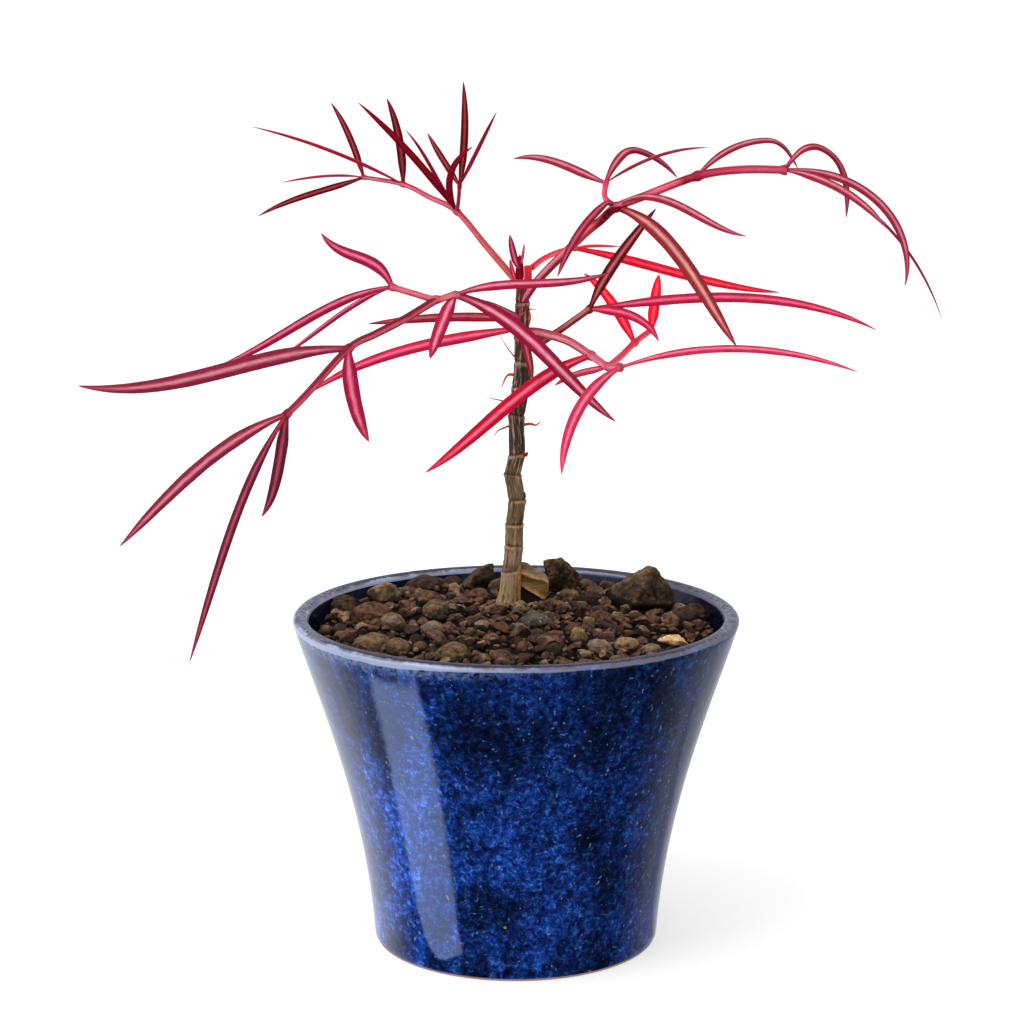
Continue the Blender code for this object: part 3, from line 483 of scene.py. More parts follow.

# Stalk tones by the share of the way from root to tip: above and below, and along both flanks, where the
# paler tone is a painted highlight
STALK_TONES = {
    "top_left": ((0.0, (165, 45, 55), (190, 75, 80)), (0.08, (198, 73, 73), (206, 94, 94)),
                 (0.33, (201, 67, 78), (208, 104, 106)), (0.67, (204, 43, 76), (221, 114, 138)),
                 (1.0, (179, 23, 53), (211, 125, 146))),
    "side": ((0.0, (160, 32, 50), (202, 132, 144)), (1.0, (160, 32, 50), (202, 132, 144))),
    "arching": ((0.0, (152, 36, 58), (223, 116, 135)), (0.17, (148, 34, 50), (214, 124, 140)),
                (0.26, (192, 66, 72), (228, 108, 116)), (0.34, (180, 56, 64), (218, 92, 100)),
                (0.38, (110, 10, 28), (150, 46, 62)), (0.46, (162, 34, 60), (216, 110, 134)),
                (0.62, (204, 54, 78), (242, 110, 134)), (0.67, (190, 46, 72), (232, 96, 122)),
                # the dark stop at 0.7 is painted shade where a leaflet's base covers the stalk
                (0.7, (138, 8, 30), (166, 34, 60)), (0.84, (174, 36, 64), (202, 66, 96)),
                (1.0, (180, 48, 74), (196, 90, 112))),
    "arching_side": ((0.0, (164, 41, 65), (190, 80, 105)), (0.5, (213, 71, 99), (219, 122, 144)),
                     (1.0, (221, 75, 108), (245, 111, 143))),
    "left": ((0.0, (140, 29, 50), (195, 73, 101)), (0.33, (153, 39, 58), (219, 109, 135)),
             (0.67, (204, 85, 95), (225, 121, 135)), (1.0, (212, 78, 94), (229, 119, 138))),
    "drooping": ((0.0, (119, 20, 38), (197, 87, 108)), (1.0, (142, 25, 49), (188, 79, 99))),
    "right": ((0.0, (178, 68, 79), (207, 121, 127)), (0.5, (142, 48, 48), (188, 98, 96)),
              (1.0, (132, 46, 50), (206, 122, 116))),
    "lower_right": ((0.0, (150, 30, 50), (200, 108, 116)), (0.33, (172, 66, 80), (222, 136, 146)),
                    (0.67, (204, 92, 110), (238, 136, 154)), (1.0, (210, 82, 106), (238, 130, 152))),
    "red_twig": ((0.0, (214, 72, 102), (242, 128, 150)), (0.4, (220, 46, 66), (242, 92, 110)),
                 (1.0, (230, 34, 60), (250, 80, 98))),
    "back_post": ((0.0, (197, 42, 52), (242, 105, 117)), (1.0, (223, 42, 46), (234, 108, 112))),
    "back": ((0.0, (226, 32, 56), (240, 108, 122)), (0.5, (238, 42, 68), (250, 116, 128)),
             (1.0, (192, 42, 62), (202, 96, 110))),
}
STALK_GLOSS = {"Roughness": 0.36, "Specular IOR Level": 0.08}
FLANK = (1.0, 0.8)          # flank shares at which the painted highlight is full and gone
FLANK_WANDER = 0.25
STALK_LINES = Grain(0.35, 3, stretch=(1, 0.12, 1))
LINE_SHADES = ((0.3, 0.76), (0.55, 1.0), (0.75, 1.2))
JOINT_SHADE = (0.82, 0.6, 0.66, 1.0)
STALK_RELIEF = 0.06


def leaf_finish(name, tone):
    """Dark edges, a paler stripe along the middle that is partly a paler midrib and partly a painted
    highlight, pinker ends and a darker other side.
    """
    edge, middle, ends, other = (tint(*colour) for colour in tone)
    leaf = Finish("leaflet_" + name, LEAF_GLOSS)
    form, fibres = leaf.form(), leaf.carried("grain")
    streaks = leaf.noise(LEAF_FIBRES, fibres)
    # painted highlight: the paler stripe along the middle stands partly for the shine of the rounded
    # leaflet
    stripe = leaf.band(leaf.plus(form["X"], leaf.swing(streaks, STRIPE_WANDER)), *MIDRIB_HIGHLIGHT)
    colour = leaf.mix(stripe, edge, middle)
    colour = leaf.mix(leaf.shades(form["Y"], LEAF_ENDS), colour, ends)
    behind = leaf.mix(leaf.times(stripe, OTHER_STRIPE), other, middle)
    colour = leaf.mix(leaf.band(form["Z"], *OTHER_SIDE), colour, behind)
    mottle = leaf.shades(leaf.noise(LEAF_MOTTLE, fibres), LEAF_SHADES)
    leaf.set("Base Color", leaf.shaded(colour, mottle))
    least, more = LEAF_ROUGH
    leaf.set("Roughness", leaf.plus(leaf.times(streaks, more), least))
    leaf.set("Normal", leaf.bump(streaks, LEAF_RELIEF))
    return leaf.material


def stalk_finish(name, tone):
    """Paler along both flanks with a painted highlight, darker above and below, changing along it, with
    fine lines.
    """
    stalk = Finish("stalk_" + name, STALK_GLOSS)
    form, fibres = stalk.form(), stalk.carried("grain")
    lines = stalk.noise(STALK_LINES, fibres)
    above = stalk.tones(form["Y"], [(share, rgb) for share, rgb, _ in tone])
    highlight_flanks = stalk.tones(form["Y"], [(share, rgb) for share, _, rgb in tone])
    level = stalk.plus(form["Z"], stalk.swing(lines, FLANK_WANDER))
    # painted highlight along both flanks
    colour = stalk.mix(stalk.band(level, *FLANK), highlight_flanks, above)
    colour = stalk.shaded(colour, stalk.shades(lines, LINE_SHADES))
    deeper = stalk.shaded(colour, JOINT_SHADE)
    stalk.set("Base Color", stalk.mix(form["X"], colour, deeper))
    stalk.set("Normal", stalk.bump(lines, STALK_RELIEF))
    return stalk.material


# The bark's colours by the share of the stem's height, and those of its scar rings
BARK_TONES = ((0.0, (142, 116, 78)), (0.05, (160, 132, 92)), (0.1, (172, 142, 104)),
              (0.125, (112, 84, 62)), (0.15, (160, 136, 110)), (0.21, (136, 106, 76)),
              (0.27, (116, 92, 62)), (0.36, (112, 90, 62)), (0.46, (82, 62, 44)),
              (0.53, (66, 46, 34)), (0.72, (62, 42, 34)), (0.8, (74, 38, 34)),
              (0.92, (96, 30, 34)), (1.0, (118, 34, 46)))
SCAR_TONES = ((0.1, (196, 156, 112)), (0.25, (198, 158, 112)), (0.4, (176, 132, 98)),
              (0.48, (206, 150, 132)), (0.6, (140, 100, 80)), (0.7, (226, 204, 178)),
              (0.8, (160, 104, 90)), (0.94, (196, 128, 120)))
BARK_GLOSS = {"Roughness": 0.75, "Specular IOR Level": 0.3}
BARK_STREAKS = Grain(0.9, 5, 0.6, stretch=(1, 0.14, 1))
BARK_MOTTLE = Grain(1.4, 6, 0.7)
PALE_BARK = tint(206, 176, 138)
PALE_SHARE = 0.6
PALE_STREAKS = (0.52, 0.64)
DARK_BARK = (0.4, 0.34, 0.28, 1.0)
DARK_STREAKS = (0.46, 0.36)     # where the noise is low
DARK_SPOTS = (0.56, 0.66)
RING_GAPS = (0.62, 0.4)     # where the mottle is above the first, a scar's ring is gone
GROOVE_SHADE = grey(0.3)
STREAK_RELIEF = 0.25
MOTTLE_RELIEF = 0.18


def bark_finish():
    """Tan-brown below, darker above, with pale upright streaks and rings at the leaf scars."""
    bark = Finish("stem_bark", BARK_GLOSS)
    form, fibres = bark.form(), bark.carried("grain")
    streaks = bark.noise(BARK_STREAKS, fibres)
    mottle = bark.noise(BARK_MOTTLE, fibres)
    colour = bark.tones(form["Y"], BARK_TONES)
    pale = bark.mix(PALE_SHARE, colour, PALE_BARK)
    colour = bark.mix(bark.band(streaks, *PALE_STREAKS), colour, pale)
    dark = bark.shaded(colour, DARK_BARK)
    colour = bark.mix(bark.band(streaks, *DARK_STREAKS), colour, dark)
    colour = bark.mix(bark.band(mottle, *DARK_SPOTS), colour, dark)
    broken = bark.times(form["X"], bark.band(mottle, *RING_GAPS))
    colour = bark.mix(broken, colour, bark.tones(form["Y"], SCAR_TONES))
    bark.set("Base Color", bark.mix(form["Z"], colour, bark.shaded(colour, GROOVE_SHADE)))
    bark.set("Normal", bark.bump(mottle, MOTTLE_RELIEF, bark.bump(streaks, STREAK_RELIEF)))
    return bark.material


def plain_finish(name, gloss, grain, tones, relief, full=NOISE_HIGH):
    """Two colours dealt out by noise, the deeper one first, with a bump of the same noise."""
    finish = Finish(name, gloss)
    patches = finish.noise(grain)
    finish.set("Base Color", finish.dealt(patches, *tones, full))
    finish.set("Normal", finish.bump(patches, relief))
    return finish.material


STONE_GLOSS = {"Roughness": 0.88, "Specular IOR Level": 0.15}
MOTTLE_FULL = 0.6
STONE_MOTTLE = 2.2          # size of the mottle; what follows is smaller by these factors
GRIT_FINER = 6
VEIN_FINER = 2
RELIEF_FINER = 5
GRIT_RELIEF_FINER = 10
GRIT_SHADES = ((0.32, 0.36), (0.55, 1.0), (0.74, 1.7))
TOP_LIGHT_SHADES = ((0.0, 0.26), (0.9, 1.15))    # painted light and shade: stones are lighter on top and darker at the sides, as if lit from above
VEIN_BAND = (0.68, 0.74)


def stone_finish(name, colour, deeper, vein=None, size=STONE_MOTTLE):
    """Rough, pitted stone: mottled, darker in its pits, lighter on top and darker at its sides as painted
    light and shade, and some with pale flecks.
    """
    stone = Finish(name, STONE_GLOSS)
    mottle = stone.noise(Grain(size, detail=6, roughness=0.7))
    fine = stone.noise(Grain(size / GRIT_FINER, detail=4, roughness=0.7))
    base = stone.dealt(mottle, deeper, colour, full=MOTTLE_FULL)
    base = stone.shaded(base, stone.shades(fine, GRIT_SHADES))
    # painted light and shade by how the surface faces up
    upward = stone.apart(stone.add("TexCoord").outputs["Normal"])["Z"]
    base = stone.shaded(base, stone.shades(upward, TOP_LIGHT_SHADES))
    if vein:
        flecks = stone.noise(Grain(size / VEIN_FINER, detail=3, roughness=0.5))
        base = stone.mix(stone.band(flecks, *VEIN_BAND), base, tint(*vein))
    stone.set("Base Color", base)
    under = stone.bump(mottle, size / RELIEF_FINER)
    stone.set("Normal", stone.bump(fine, size / GRIT_RELIEF_FINER, under))
    return stone.material


GLAZE_GLOSS = {"Roughness": 0.09, "Specular IOR Level": 0.5, "IOR": 1.5}
GLAZE_PATCHES = Grain(17, 3, 0.5, 0.4, (1, 1, 0.6))
GLAZE_CLOUDS = Grain(6.5, 5, 0.6, 0.6, (1, 1, 0.75))
GLAZE_SPECKLE = Grain(1.6, 6, 0.8, 0.5)
GLAZE_PEEL = Grain(6.0, 2, 0.4)
SPECKLE_TONES = ((0.36, (2, 8, 38)), (0.46, (7, 27, 82)), (0.56, (18, 60, 142)), (0.68, (70, 126, 206)))
PATCH_PART = 0.5            # the patches' part of the shade; the clouds have the rest
CLOUD_SHADES = ((0.4, 0.2), (0.5, 0.66), (0.6, 1.4))
LAMP_SIDE_SPAN = (-38, 26)     # painted light and shade: paler at the left towards the lamp, darker at the right
LAMP_SIDE_SHADES = ((0.0, 1.4), (0.5, 1.1), (1.0, 0.5))
RISE_SPAN = (44, 68)        # paler below, darker above
RISE_SHADES = ((0.0, 1.2), (1.0, 0.72))
# Marks on the glaze: grain, where they start and are full, strength and colour
BLUE_FLECKS = (Grain(1.2, 3, 0.6), (0.64, 0.7), 0.5, tint(80, 140, 206))
PALE_SPECKS = (Grain(1.7, 1, 0.5, stretch=(1.3, 1.3, 1)), (0.75, 0.78), 0.6, tint(158, 140, 140))
CLAY_SPAN = (0.9, 0.4)      # bare clay shows below this
CLAY_TONE = tint(178, 140, 136)
CLAY_ROUGH = 0.6
SPECKLE_ROUGH = 0.16
SPECKLE_RELIEF = 0.012
PEEL_RELIEF = 0.05
INNER_CURLS = Grain(5, 6, 0.7, distortion=1.2)  # the inner wall is dark navy, a little streaked
INNER_TONES = ((4, 5, 20), (18, 24, 54))
INNER_RELIEF = 0.03
# The rim by level, from its outside up: where each colour starts and where it is full
RIM_HAZE = (80.8, 84.2)
RIM_LINE = (82.3, 82.6)
RIM_RUST = (82.9, 83.1)
RIM_LIP = (83.3, 83.5)
RIM_RAGGED = 0.8            # how unevenly they start
# The haze is partly thin glaze and partly a painted sheen, strongest at the left
HAZE_LEFT = (20, -34)       # from the right of the middle to the left
HAZE_DROP = 2.4             # the haze runs down this much further at the left
HAZE_SHARES = (0.1, 0.5)    # its strength at the right, and what the painted sheen adds to the left
HAZE_GAPS = (0.36, 0.6)     # the speckle breaks it up
HAZE_AND_SHEEN_TONE = tint(128, 150, 196)
# The pale line is partly thin glaze at the lip and partly a painted highlight, strongest at the left
LINE_LEFT = (-6, -32)
LINE_DROP = 0.9             # the pale line runs down this much further there
LINE_SHARES = (0.25, 0.55)  # its strength, as for the haze; what it gains to the left is painted highlight
LINE_AND_HIGHLIGHT_TONE = tint(168, 178, 208)
RUST_GAPS = (0.4, 0.52)     # the clouds break it up
RUST_SHARE = 0.75
RUST_TONE = tint(98, 80, 78)
LIP_TONES = ((0.4, (18, 20, 44)), (0.6, (60, 60, 84)))
LIP_RIGHT = (38, 54)        # the lip is paler towards both sides: painted sheen
LIP_LEFT = (-38, -54)
EDGE_SHEEN_GAPS = (0.38, 0.62)    # and the speckle this
EDGE_SHEEN_TONE = tint(122, 122, 142)


def glaze_body(glaze, parts, clouds, speckle):
    """Fine speckle over clouds, with painted light and shade that make it paler towards the lamp at the
    left and darker at the right, darker above, with blue flecks and pale specks.
    """
    patches = glaze.noise(GLAZE_PATCHES)
    body = glaze.tones(speckle, SPECKLE_TONES)
    shade = glaze.plus(glaze.times(patches, PATCH_PART), glaze.times(clouds, 1 - PATCH_PART))
    for factor, shades in ((shade, CLOUD_SHADES), (glaze.reach(parts["X"], LAMP_SIDE_SPAN), LAMP_SIDE_SHADES),
                           (glaze.reach(parts["Z"], RISE_SPAN), RISE_SHADES)):
        body = glaze.shaded(body, glaze.shades(factor, shades))
    for grain, band, share, tone in (BLUE_FLECKS, PALE_SPECKS):
        body = glaze.mix(glaze.times(glaze.band(glaze.noise(grain), *band), share), body, tone)
    return body


def rim_colours(glaze, body, parts, clouds, speckle):
    """A haze that is partly thin glaze and partly painted sheen, strongest at the left, a pale line that
    is partly thin glaze and partly painted highlight, rusty flecks and a dark lip, paler towards both
    sides with painted sheen.
    """
    ragged = glaze.plus(parts["Z"], glaze.times(clouds, RIM_RAGGED * MM))
    to_left = glaze.reach(parts["X"], HAZE_LEFT)

    def lowered(share, drop):
        return glaze.plus(ragged, glaze.times(share, drop * MM))

    def gaining(shares):
        least, more = shares
        return glaze.plus(glaze.times(to_left, more), least)

    # painted sheen and highlight: the haze and the pale line gain strength towards the left
    haze = glaze.reach(lowered(to_left, HAZE_DROP), RIM_HAZE)
    haze = glaze.times(haze, glaze.band(speckle, *HAZE_GAPS))
    body = glaze.mix(glaze.times(haze, gaining(HAZE_SHARES)), body, HAZE_AND_SHEEN_TONE)
    line = glaze.reach(lowered(glaze.reach(parts["X"], LINE_LEFT), LINE_DROP), RIM_LINE)
    body = glaze.mix(glaze.times(line, gaining(LINE_SHARES)), body, LINE_AND_HIGHLIGHT_TONE)
    rust = glaze.times(glaze.reach(ragged, RIM_RUST), glaze.band(clouds, *RUST_GAPS))
    body = glaze.mix(glaze.times(rust, RUST_SHARE), body, RUST_TONE)
    # painted sheen: the lip is paler towards both sides
    ends = glaze.maths('MAXIMUM', glaze.reach(parts["X"], LIP_RIGHT), glaze.reach(parts["X"], LIP_LEFT))
    edge_sheen = glaze.times(ends, glaze.band(speckle, *EDGE_SHEEN_GAPS))
    lip = glaze.mix(edge_sheen, glaze.tones(speckle, LIP_TONES), EDGE_SHEEN_TONE)
    return glaze.mix(glaze.reach(ragged, RIM_LIP), body, lip)


def glaze_finish():
    """Cobalt glaze with a rim of its own, and a line of bare clay at the foot."""
    glaze = Finish("cobalt_glaze", GLAZE_GLOSS)
    parts = glaze.apart(glaze.place)
    clouds, speckle = glaze.noise(GLAZE_CLOUDS), glaze.noise(GLAZE_SPECKLE)
    body = glaze_body(glaze, parts, clouds, speckle)
    body = rim_colours(glaze, body, parts, clouds, speckle)
    clay = glaze.reach(parts["Z"], CLAY_SPAN)
    glaze.set("Base Color", glaze.mix(clay, body, CLAY_TONE))
    glaze.set("Roughness", glaze.plus(glaze.times(clay, CLAY_ROUGH), glaze.times(speckle, SPECKLE_ROUGH)))
    peel = glaze.bump(glaze.noise(GLAZE_PEEL), PEEL_RELIEF)
    glaze.set("Normal", glaze.bump(speckle, SPECKLE_RELIEF, peel))
    return glaze.material


# Pot
def bezier(controls, t):
    weights = ((1 - t) ** 3, 3 * t * (1 - t) ** 2, 3 * t ** 2 * (1 - t), t ** 3)
    return sum(w * np.array(c, float) for w, c in zip(weights, controls))


WALL_CURVE = np.array([bezier(POT_CURVE, t) for t in np.linspace(0, 1, POT_CURVE_STEPS)])


def wall_radius(height, inset=0.0):
    return float(np.interp(height, WALL_CURVE[:, 1], WALL_CURVE[:, 0])) - inset


def circle(radius, height, count):
    return [(radius * math.cos(a), radius * math.sin(a), height) for a in turns(count)]


def build_pot():
    """The pot from its underside, up the wall, over the rounded lip and down to the floor."""
    lip_level, half_wall = POT_HEIGHT - LIP_HEIGHT, POT_WALL / 2
    inward, upward = POT_FOOT_EDGE
    outer = [(wall_radius(0) - POT_FOOT_ROUND, 0.0), (wall_radius(0) - inward, upward)]
    outer += [(wall_radius(h), h) for h in np.linspace(POT_FOOT_ROUND, lip_level, POT_WALL_RINGS)]
    middle = wall_radius(lip_level) - half_wall
    for k in range(1, LIP_RINGS + 1):
        turn = math.pi * k / (LIP_RINGS + 1)
        outer.append((middle + half_wall * math.cos(turn), lip_level + LIP_HEIGHT * math.sin(turn)))
    down = np.linspace(lip_level, POT_FLOOR, POT_INNER_RINGS)
    inside = [(wall_radius(h, POT_WALL), h) for h in down]
    rings = [circle(radius, height, POT_SIDES) for radius, height in outer + inside]
    points, faces = tube(rings)
    pot = Surface()
    pot.add(points, faces)
    pot.numbers = [1 if min(face) >= len(outer) * POT_SIDES else 0 for face in faces]
    inner = plain_finish("navy_inner_glaze", GLAZE_GLOSS, INNER_CURLS, INNER_TONES, INNER_RELIEF)
    pot.piece("glazed_pot", [glaze_finish(), inner], "glaze", ("pot",))


# Soil and stones
def soil_level(x, y):
    share = min(1.0, math.hypot(x, y) / SOIL_RADIUS)
    heap = SOIL_EDGE + (SOIL_CROWN - SOIL_EDGE) * (1 - share ** 2)
    short, long = SOIL_WAVES
    bumps = math.cos(x / short) * math.cos(y / short) + math.sin((x - y) / long)
    level = heap + SOIL_BUMP * bumps * (1 - share ** 4)
    away = min(1.0, max(0.0, (to_foot(x, y) - FOOT_FLAT) / FOOT_BLEND))
    return FOOT_LEVEL * (1 - away) + level * away


def to_foot(x, y):
    return math.hypot(x - FOOT[0], y - FOOT[1])


# Gravel tones: colour, deeper colour and share of the grains
GRAVEL_TONES = (
    ((122, 86, 68), (40, 26, 21), 22),
    ((112, 77, 53), (36, 23, 16), 32),
    ((78, 54, 41), (27, 18, 14), 20),
    ((160, 126, 90), (66, 47, 33), 9),
    ((130, 102, 71), (50, 38, 25), 9),
    ((144, 118, 94), (58, 45, 36), 8),
)
GRAVEL_MOTTLE = 1.6
GRAVEL_SEED = 5
# Gravel: piece, number of grains, their sizes, fineness of their meshes, and how high they lie
GRAVELS = (
    ("gravel_coarse", 400, (3.4, 7.0), 3, 0.12),
    ("gravel_fine", 800, (1.4, 2.8), 2, 0.2),
)
GRAIN_BREADTH = (0.7, 0.95)     # against a grain's length
GRAIN_THICKNESS = (0.55, 0.85)
GRAIN_STANDS = (0.6, 1.3)   # unevenness of how high they lie
STONE_CUTS = 11
CUT_DEPTHS = (0.5, 0.85)
PEBBLE_CUTS = (0.88, 0.98)  # pebbles are more worn
STONE_TILT = 0.5            # most that a grain is tilted, in radians
SPACING = 0.78              # how close grains may lie, against their sizes
STONE_CLEAR = 1.1           # and how close to a stone, against its width
STONE_FRONT = 1.0           # the clear place reaches this much further to a stone's front
STEM_CLEAR = 5.0            # width of the clear place about the stem
PEBBLE_CLEAR = 0.9          # and about a pebble, against its width
WALL_GAP = 0.3              # between a grain and the wall
TRIES = 30000
CRISP = 28                  # degrees: sharper edges on a grain stay crisp
PEBBLE_ROUGH = 0.07         # unevenness of a pebble against its size
# Noise of several grains: its falloff, the step from grain to grain, and how many there are
PEBBLE_UNEVEN = (0.8, 2.1, 4)
STONE_UNEVEN = (0.8, 2.1, 5)
BARK_UNEVEN = (0.7, 2.0, 4)
PEBBLE_LUMPS = 2.2          # lumps across half a pebble
SEED_SPAN = 99              # pebbles take their lumps from places this far apart at most
PEBBLE_SHAPE = (0.58, 0.52, 0.36)   # half length, breadth and height, against its size
PEBBLE_RISE = 0.6           # least half height, against its height above the soil
PEBBLE_OVER = 0.4           # how far a pebble covers its form in the solid
# Pebbles, as in the solids: place, size across, height above the soil, and number of its tone
PEBBLES = (
    (-43, 19, 9, 4, 2), (-36, 8, 10, 4, 1), (-24, 38, 10, 5, 2), (-17, 40, 6, 4, 2), (-28, 33, 5, 3, 0),
    (-22, 21, 8, 3, 1), (-9, 23, 7, 3, 1), (-14, 17, 5, 2, 1), (-20, 0, 7, 4, 4), (-30, -10, 6, 4, 5),
    (-25, -12, 3, 3, 3), (-20, -16, 6, 4, 5), (-35, -22, 10, 4, 4), (-28, -29, 6, 4, 4),
    (-23, -27, 4, 2, 1), (-15, -34, 8, 4, 4), (-20, -34, 3, 2, 4), (-11, -6, 4, 2, 1),
    (-11, -18, 3, 2, 4), (-6, -22, 4, 2, 0), (2, -30, 4, 3, 1), (-3, -38, 6, 3, 1), (9, -34, 4, 3, 2),
    (9, -18, 6, 2, 1), (14, -15, 4, 3, 1), (20, -28, 6, 3, 5), (26, -25, 6, 3, 3), (32, -28, 5, 3, 5),
    (21, -3, 6, 3, 1), (30, 0, 4, 3, 2), (34, -4, 4, 3, 0), (42, 3, 7, 4, 2), (45, 12, 6, 4, 2),
    (14, 25, 6, 3, 4), (19, 19, 6, 3, 2), (12, 5, 4, 2, 0), (9, 11, 4, 2, 1), (-4, 44, 6, 3, 4),
    (4, 38, 5, 3, 4), (19, 40, 7, 3, 1),
)


SMOOTH_BALL = 4             # fineness of a smooth ball's mesh


def ball(cuts):
    """Unit ball points and faces, from an icosphere."""
    bm = bmesh.new()
    bmesh.ops.create_icosphere(bm, subdivisions=cuts, radius=1.0)
    points = np.array([v.co[:] for v in bm.verts])
    faces = [tuple(v.index for v in face.verts) for face in bm.faces]
    bm.free()
    return points, faces


def chipped(points, draw, depths=CUT_DEPTHS):
    """Flatten a ball by random cuts, as a broken and worn stone."""
    points = points.copy()
    for _ in range(STONE_CUTS):
        normal = unit(np.array([draw.gauss(0, 1) for _ in range(3)]))
        over = np.maximum(0.0, points @ normal - draw.uniform(*depths))
        points -= over[:, None] * normal
    return points


def turned(points, draw):
    """Lie the stone at a random heading and a small tilt."""
    spin, tip = draw.uniform(0, 2 * math.pi), draw.uniform(-STONE_TILT, STONE_TILT)
    x = points[:, 0] * math.cos(spin) - points[:, 1] * math.sin(spin)
    y = points[:, 0] * math.sin(spin) + points[:, 1] * math.cos(spin)
    z = points[:, 2]
    return np.stack([x * math.cos(tip) + z * math.sin(tip), y,
                     z * math.cos(tip) - x * math.sin(tip)], axis=1)


def scatter(draw, count, sizes, taken):
    """Places for grains on the soil: not on the stem, the wall or each other."""
    placed = []
    for _ in range(TRIES):
        if len(placed) == count:
            break
        size = draw.uniform(*sizes)
        reach = wall_radius(SOIL_EDGE, POT_WALL) - size / 2 - WALL_GAP
        radius, angle = reach * math.sqrt(draw.random()), draw.uniform(0, 2 * math.pi)
        x, y = radius * math.cos(angle), radius * math.sin(angle)
        clear = all(math.hypot(x - a, y - b) > SPACING * (size + other) / 2
                    for a, b, other in taken + placed)
        if clear:
            placed.append((x, y, size))
    return placed


def soil_top():
    """A function that gives the height of the soil's solid at a place."""
    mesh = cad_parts["soil"].data
    corners = [vertex.co / MM for vertex in mesh.vertices]
    tree = BVHTree.FromPolygons(corners, [tuple(face.vertices) for face in mesh.polygons])

    def height(x, y):
        return tree.ray_cast(Vector((x, y, 2 * POT_HEIGHT)), Vector((0, 0, -1)))[0].z
    return height


def footprint(node):
    """Middle and width of a stone's solid, in millimetres."""
    low, high = (np.array(corner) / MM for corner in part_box(node))
    middle = (low + high) / 2
    return middle[0], middle[1] - STONE_FRONT, STONE_CLEAR * (high - low)[:2].mean()


def build_gravel():
    draw = random.Random(GRAVEL_SEED)
    ground = soil_top()
    materials = [stone_finish(f"gravel_{k}", colour, deeper, size=GRAVEL_MOTTLE)
                 for k, (colour, deeper, _) in enumerate(GRAVEL_TONES)]
    shares = [share for *_, share in GRAVEL_TONES]
    taken = [(*FOOT, STEM_CLEAR)]
    taken += [(x, y, width * PEBBLE_CLEAR) for x, y, width, _, _ in PEBBLES]
    taken += [footprint(node) for node, *_ in ROCKS]
    scattered = [scatter(draw, count, sizes, taken) for _, count, sizes, _, _ in GRAVELS]
    for (name, _, _, cuts, lift), grains in zip(GRAVELS, scattered):
        unit_points, faces = ball(cuts)
        gravel = Surface()
        for x, y, size in grains:
            sides = (1.0, draw.uniform(*GRAIN_BREADTH), draw.uniform(*GRAIN_THICKNESS))
            points = turned(chipped(unit_points, draw) * (np.array(sides) * size / 2), draw)
            points += (x, y, ground(x, y) + size * lift * draw.uniform(*GRAIN_STANDS))
            gravel.add(points, faces, draw.choices(range(len(materials)), shares)[0])
        gravel.piece(name, materials, "soil", crisp=CRISP)
    build_pebbles(materials, draw)


def build_pebbles(materials, draw):
    """Worn stones of their own sizes and places, standing out of the gravel."""
    unit_points, faces = ball(SMOOTH_BALL)
    pebbles = Surface()
    for x, y, width, height, number in PEBBLES:
        stone = chipped(unit_points, draw, PEBBLE_CUTS)
        offset = Vector((draw.uniform(0, SEED_SPAN), 0, 0))
        rough = [noise.fractal(Vector(p) * PEBBLE_LUMPS + offset, *PEBBLE_UNEVEN) for p in stone]
        stone *= 1 + PEBBLE_ROUGH * np.array(rough)[:, None]
        long, broad, high = (width * share for share in PEBBLE_SHAPE)
        tall = max(height * PEBBLE_RISE, high) + PEBBLE_OVER
        points = turned(stone * (long, broad, tall), draw)
        pebbles.add(points + (x, y, soil_level(x, y) + height + PEBBLE_OVER - tall), faces, number)
    pebbles.piece("pebbles", materials, "soil")


# Stones that have solids: node, voxel size, relief, seed, colour, deeper colour and fleck
ROCKS = (
    ("rock_right", 0.35, 0.35, 3, (128, 102, 74), (52, 40, 29), None),
    ("rock_back", 0.3, 0.6, 8, (126, 92, 60), (46, 34, 24), None),
    ("rock_back_left", 0.3, 0.45, 14, (108, 84, 61), (42, 31, 23), None),
    ("stone_left", 0.3, 0.3, 19, (162, 128, 98), (84, 62, 46), None),
    ("stone_slate", 0.25, 0.15, 25, (98, 93, 76), (40, 38, 31), (214, 216, 208)),
    ("stone_foot", 0.25, 0.2, 31, (146, 108, 82), (78, 55, 41), None),
    ("stone_cream", 0.25, 0.2, 37, (255, 214, 156), (178, 124, 78), None),
)
SWELL_SIZE = 3.5            # width of the broad swellings of a stone's face
PIT_SIZE = 1.3              # size of its pits
PIT_GRAINS = 3
PIT_DEPTH = 0.45
CRAG_SIZE = 3.2             # width of the hollows that break a stone's face
CRAG_MIDDLE = 0.4           # mean distance from the middle of a hollow, against that width
CRAG_RISE = 0.8             # how sharply the edges between hollows stand out
WELD = 0.001                # corners nearer than this are one


def remeshed(node, voxel):
    """A copy of a stone's solid with small even faces."""
    bm = bmesh.new()
    bm.from_mesh(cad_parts[node].data)
    bmesh.ops.remove_doubles(bm, verts=bm.verts, dist=WELD * MM)
    mesh = bpy.data.meshes.new(node + "_rough")
    bm.to_mesh(mesh)
    bm.free()
    stone = linked(node + "_rough", mesh)
    remesh = stone.modifiers.new("fine", 'REMESH')
    remesh.mode = 'VOXEL'
    remesh.voxel_size = voxel * MM
    graph = bpy.context.evaluated_depsgraph_get()
    fine = bpy.data.meshes.new_from_object(stone.evaluated_get(graph))
    stone.modifiers.clear()
    stone.data = fine
    return stone


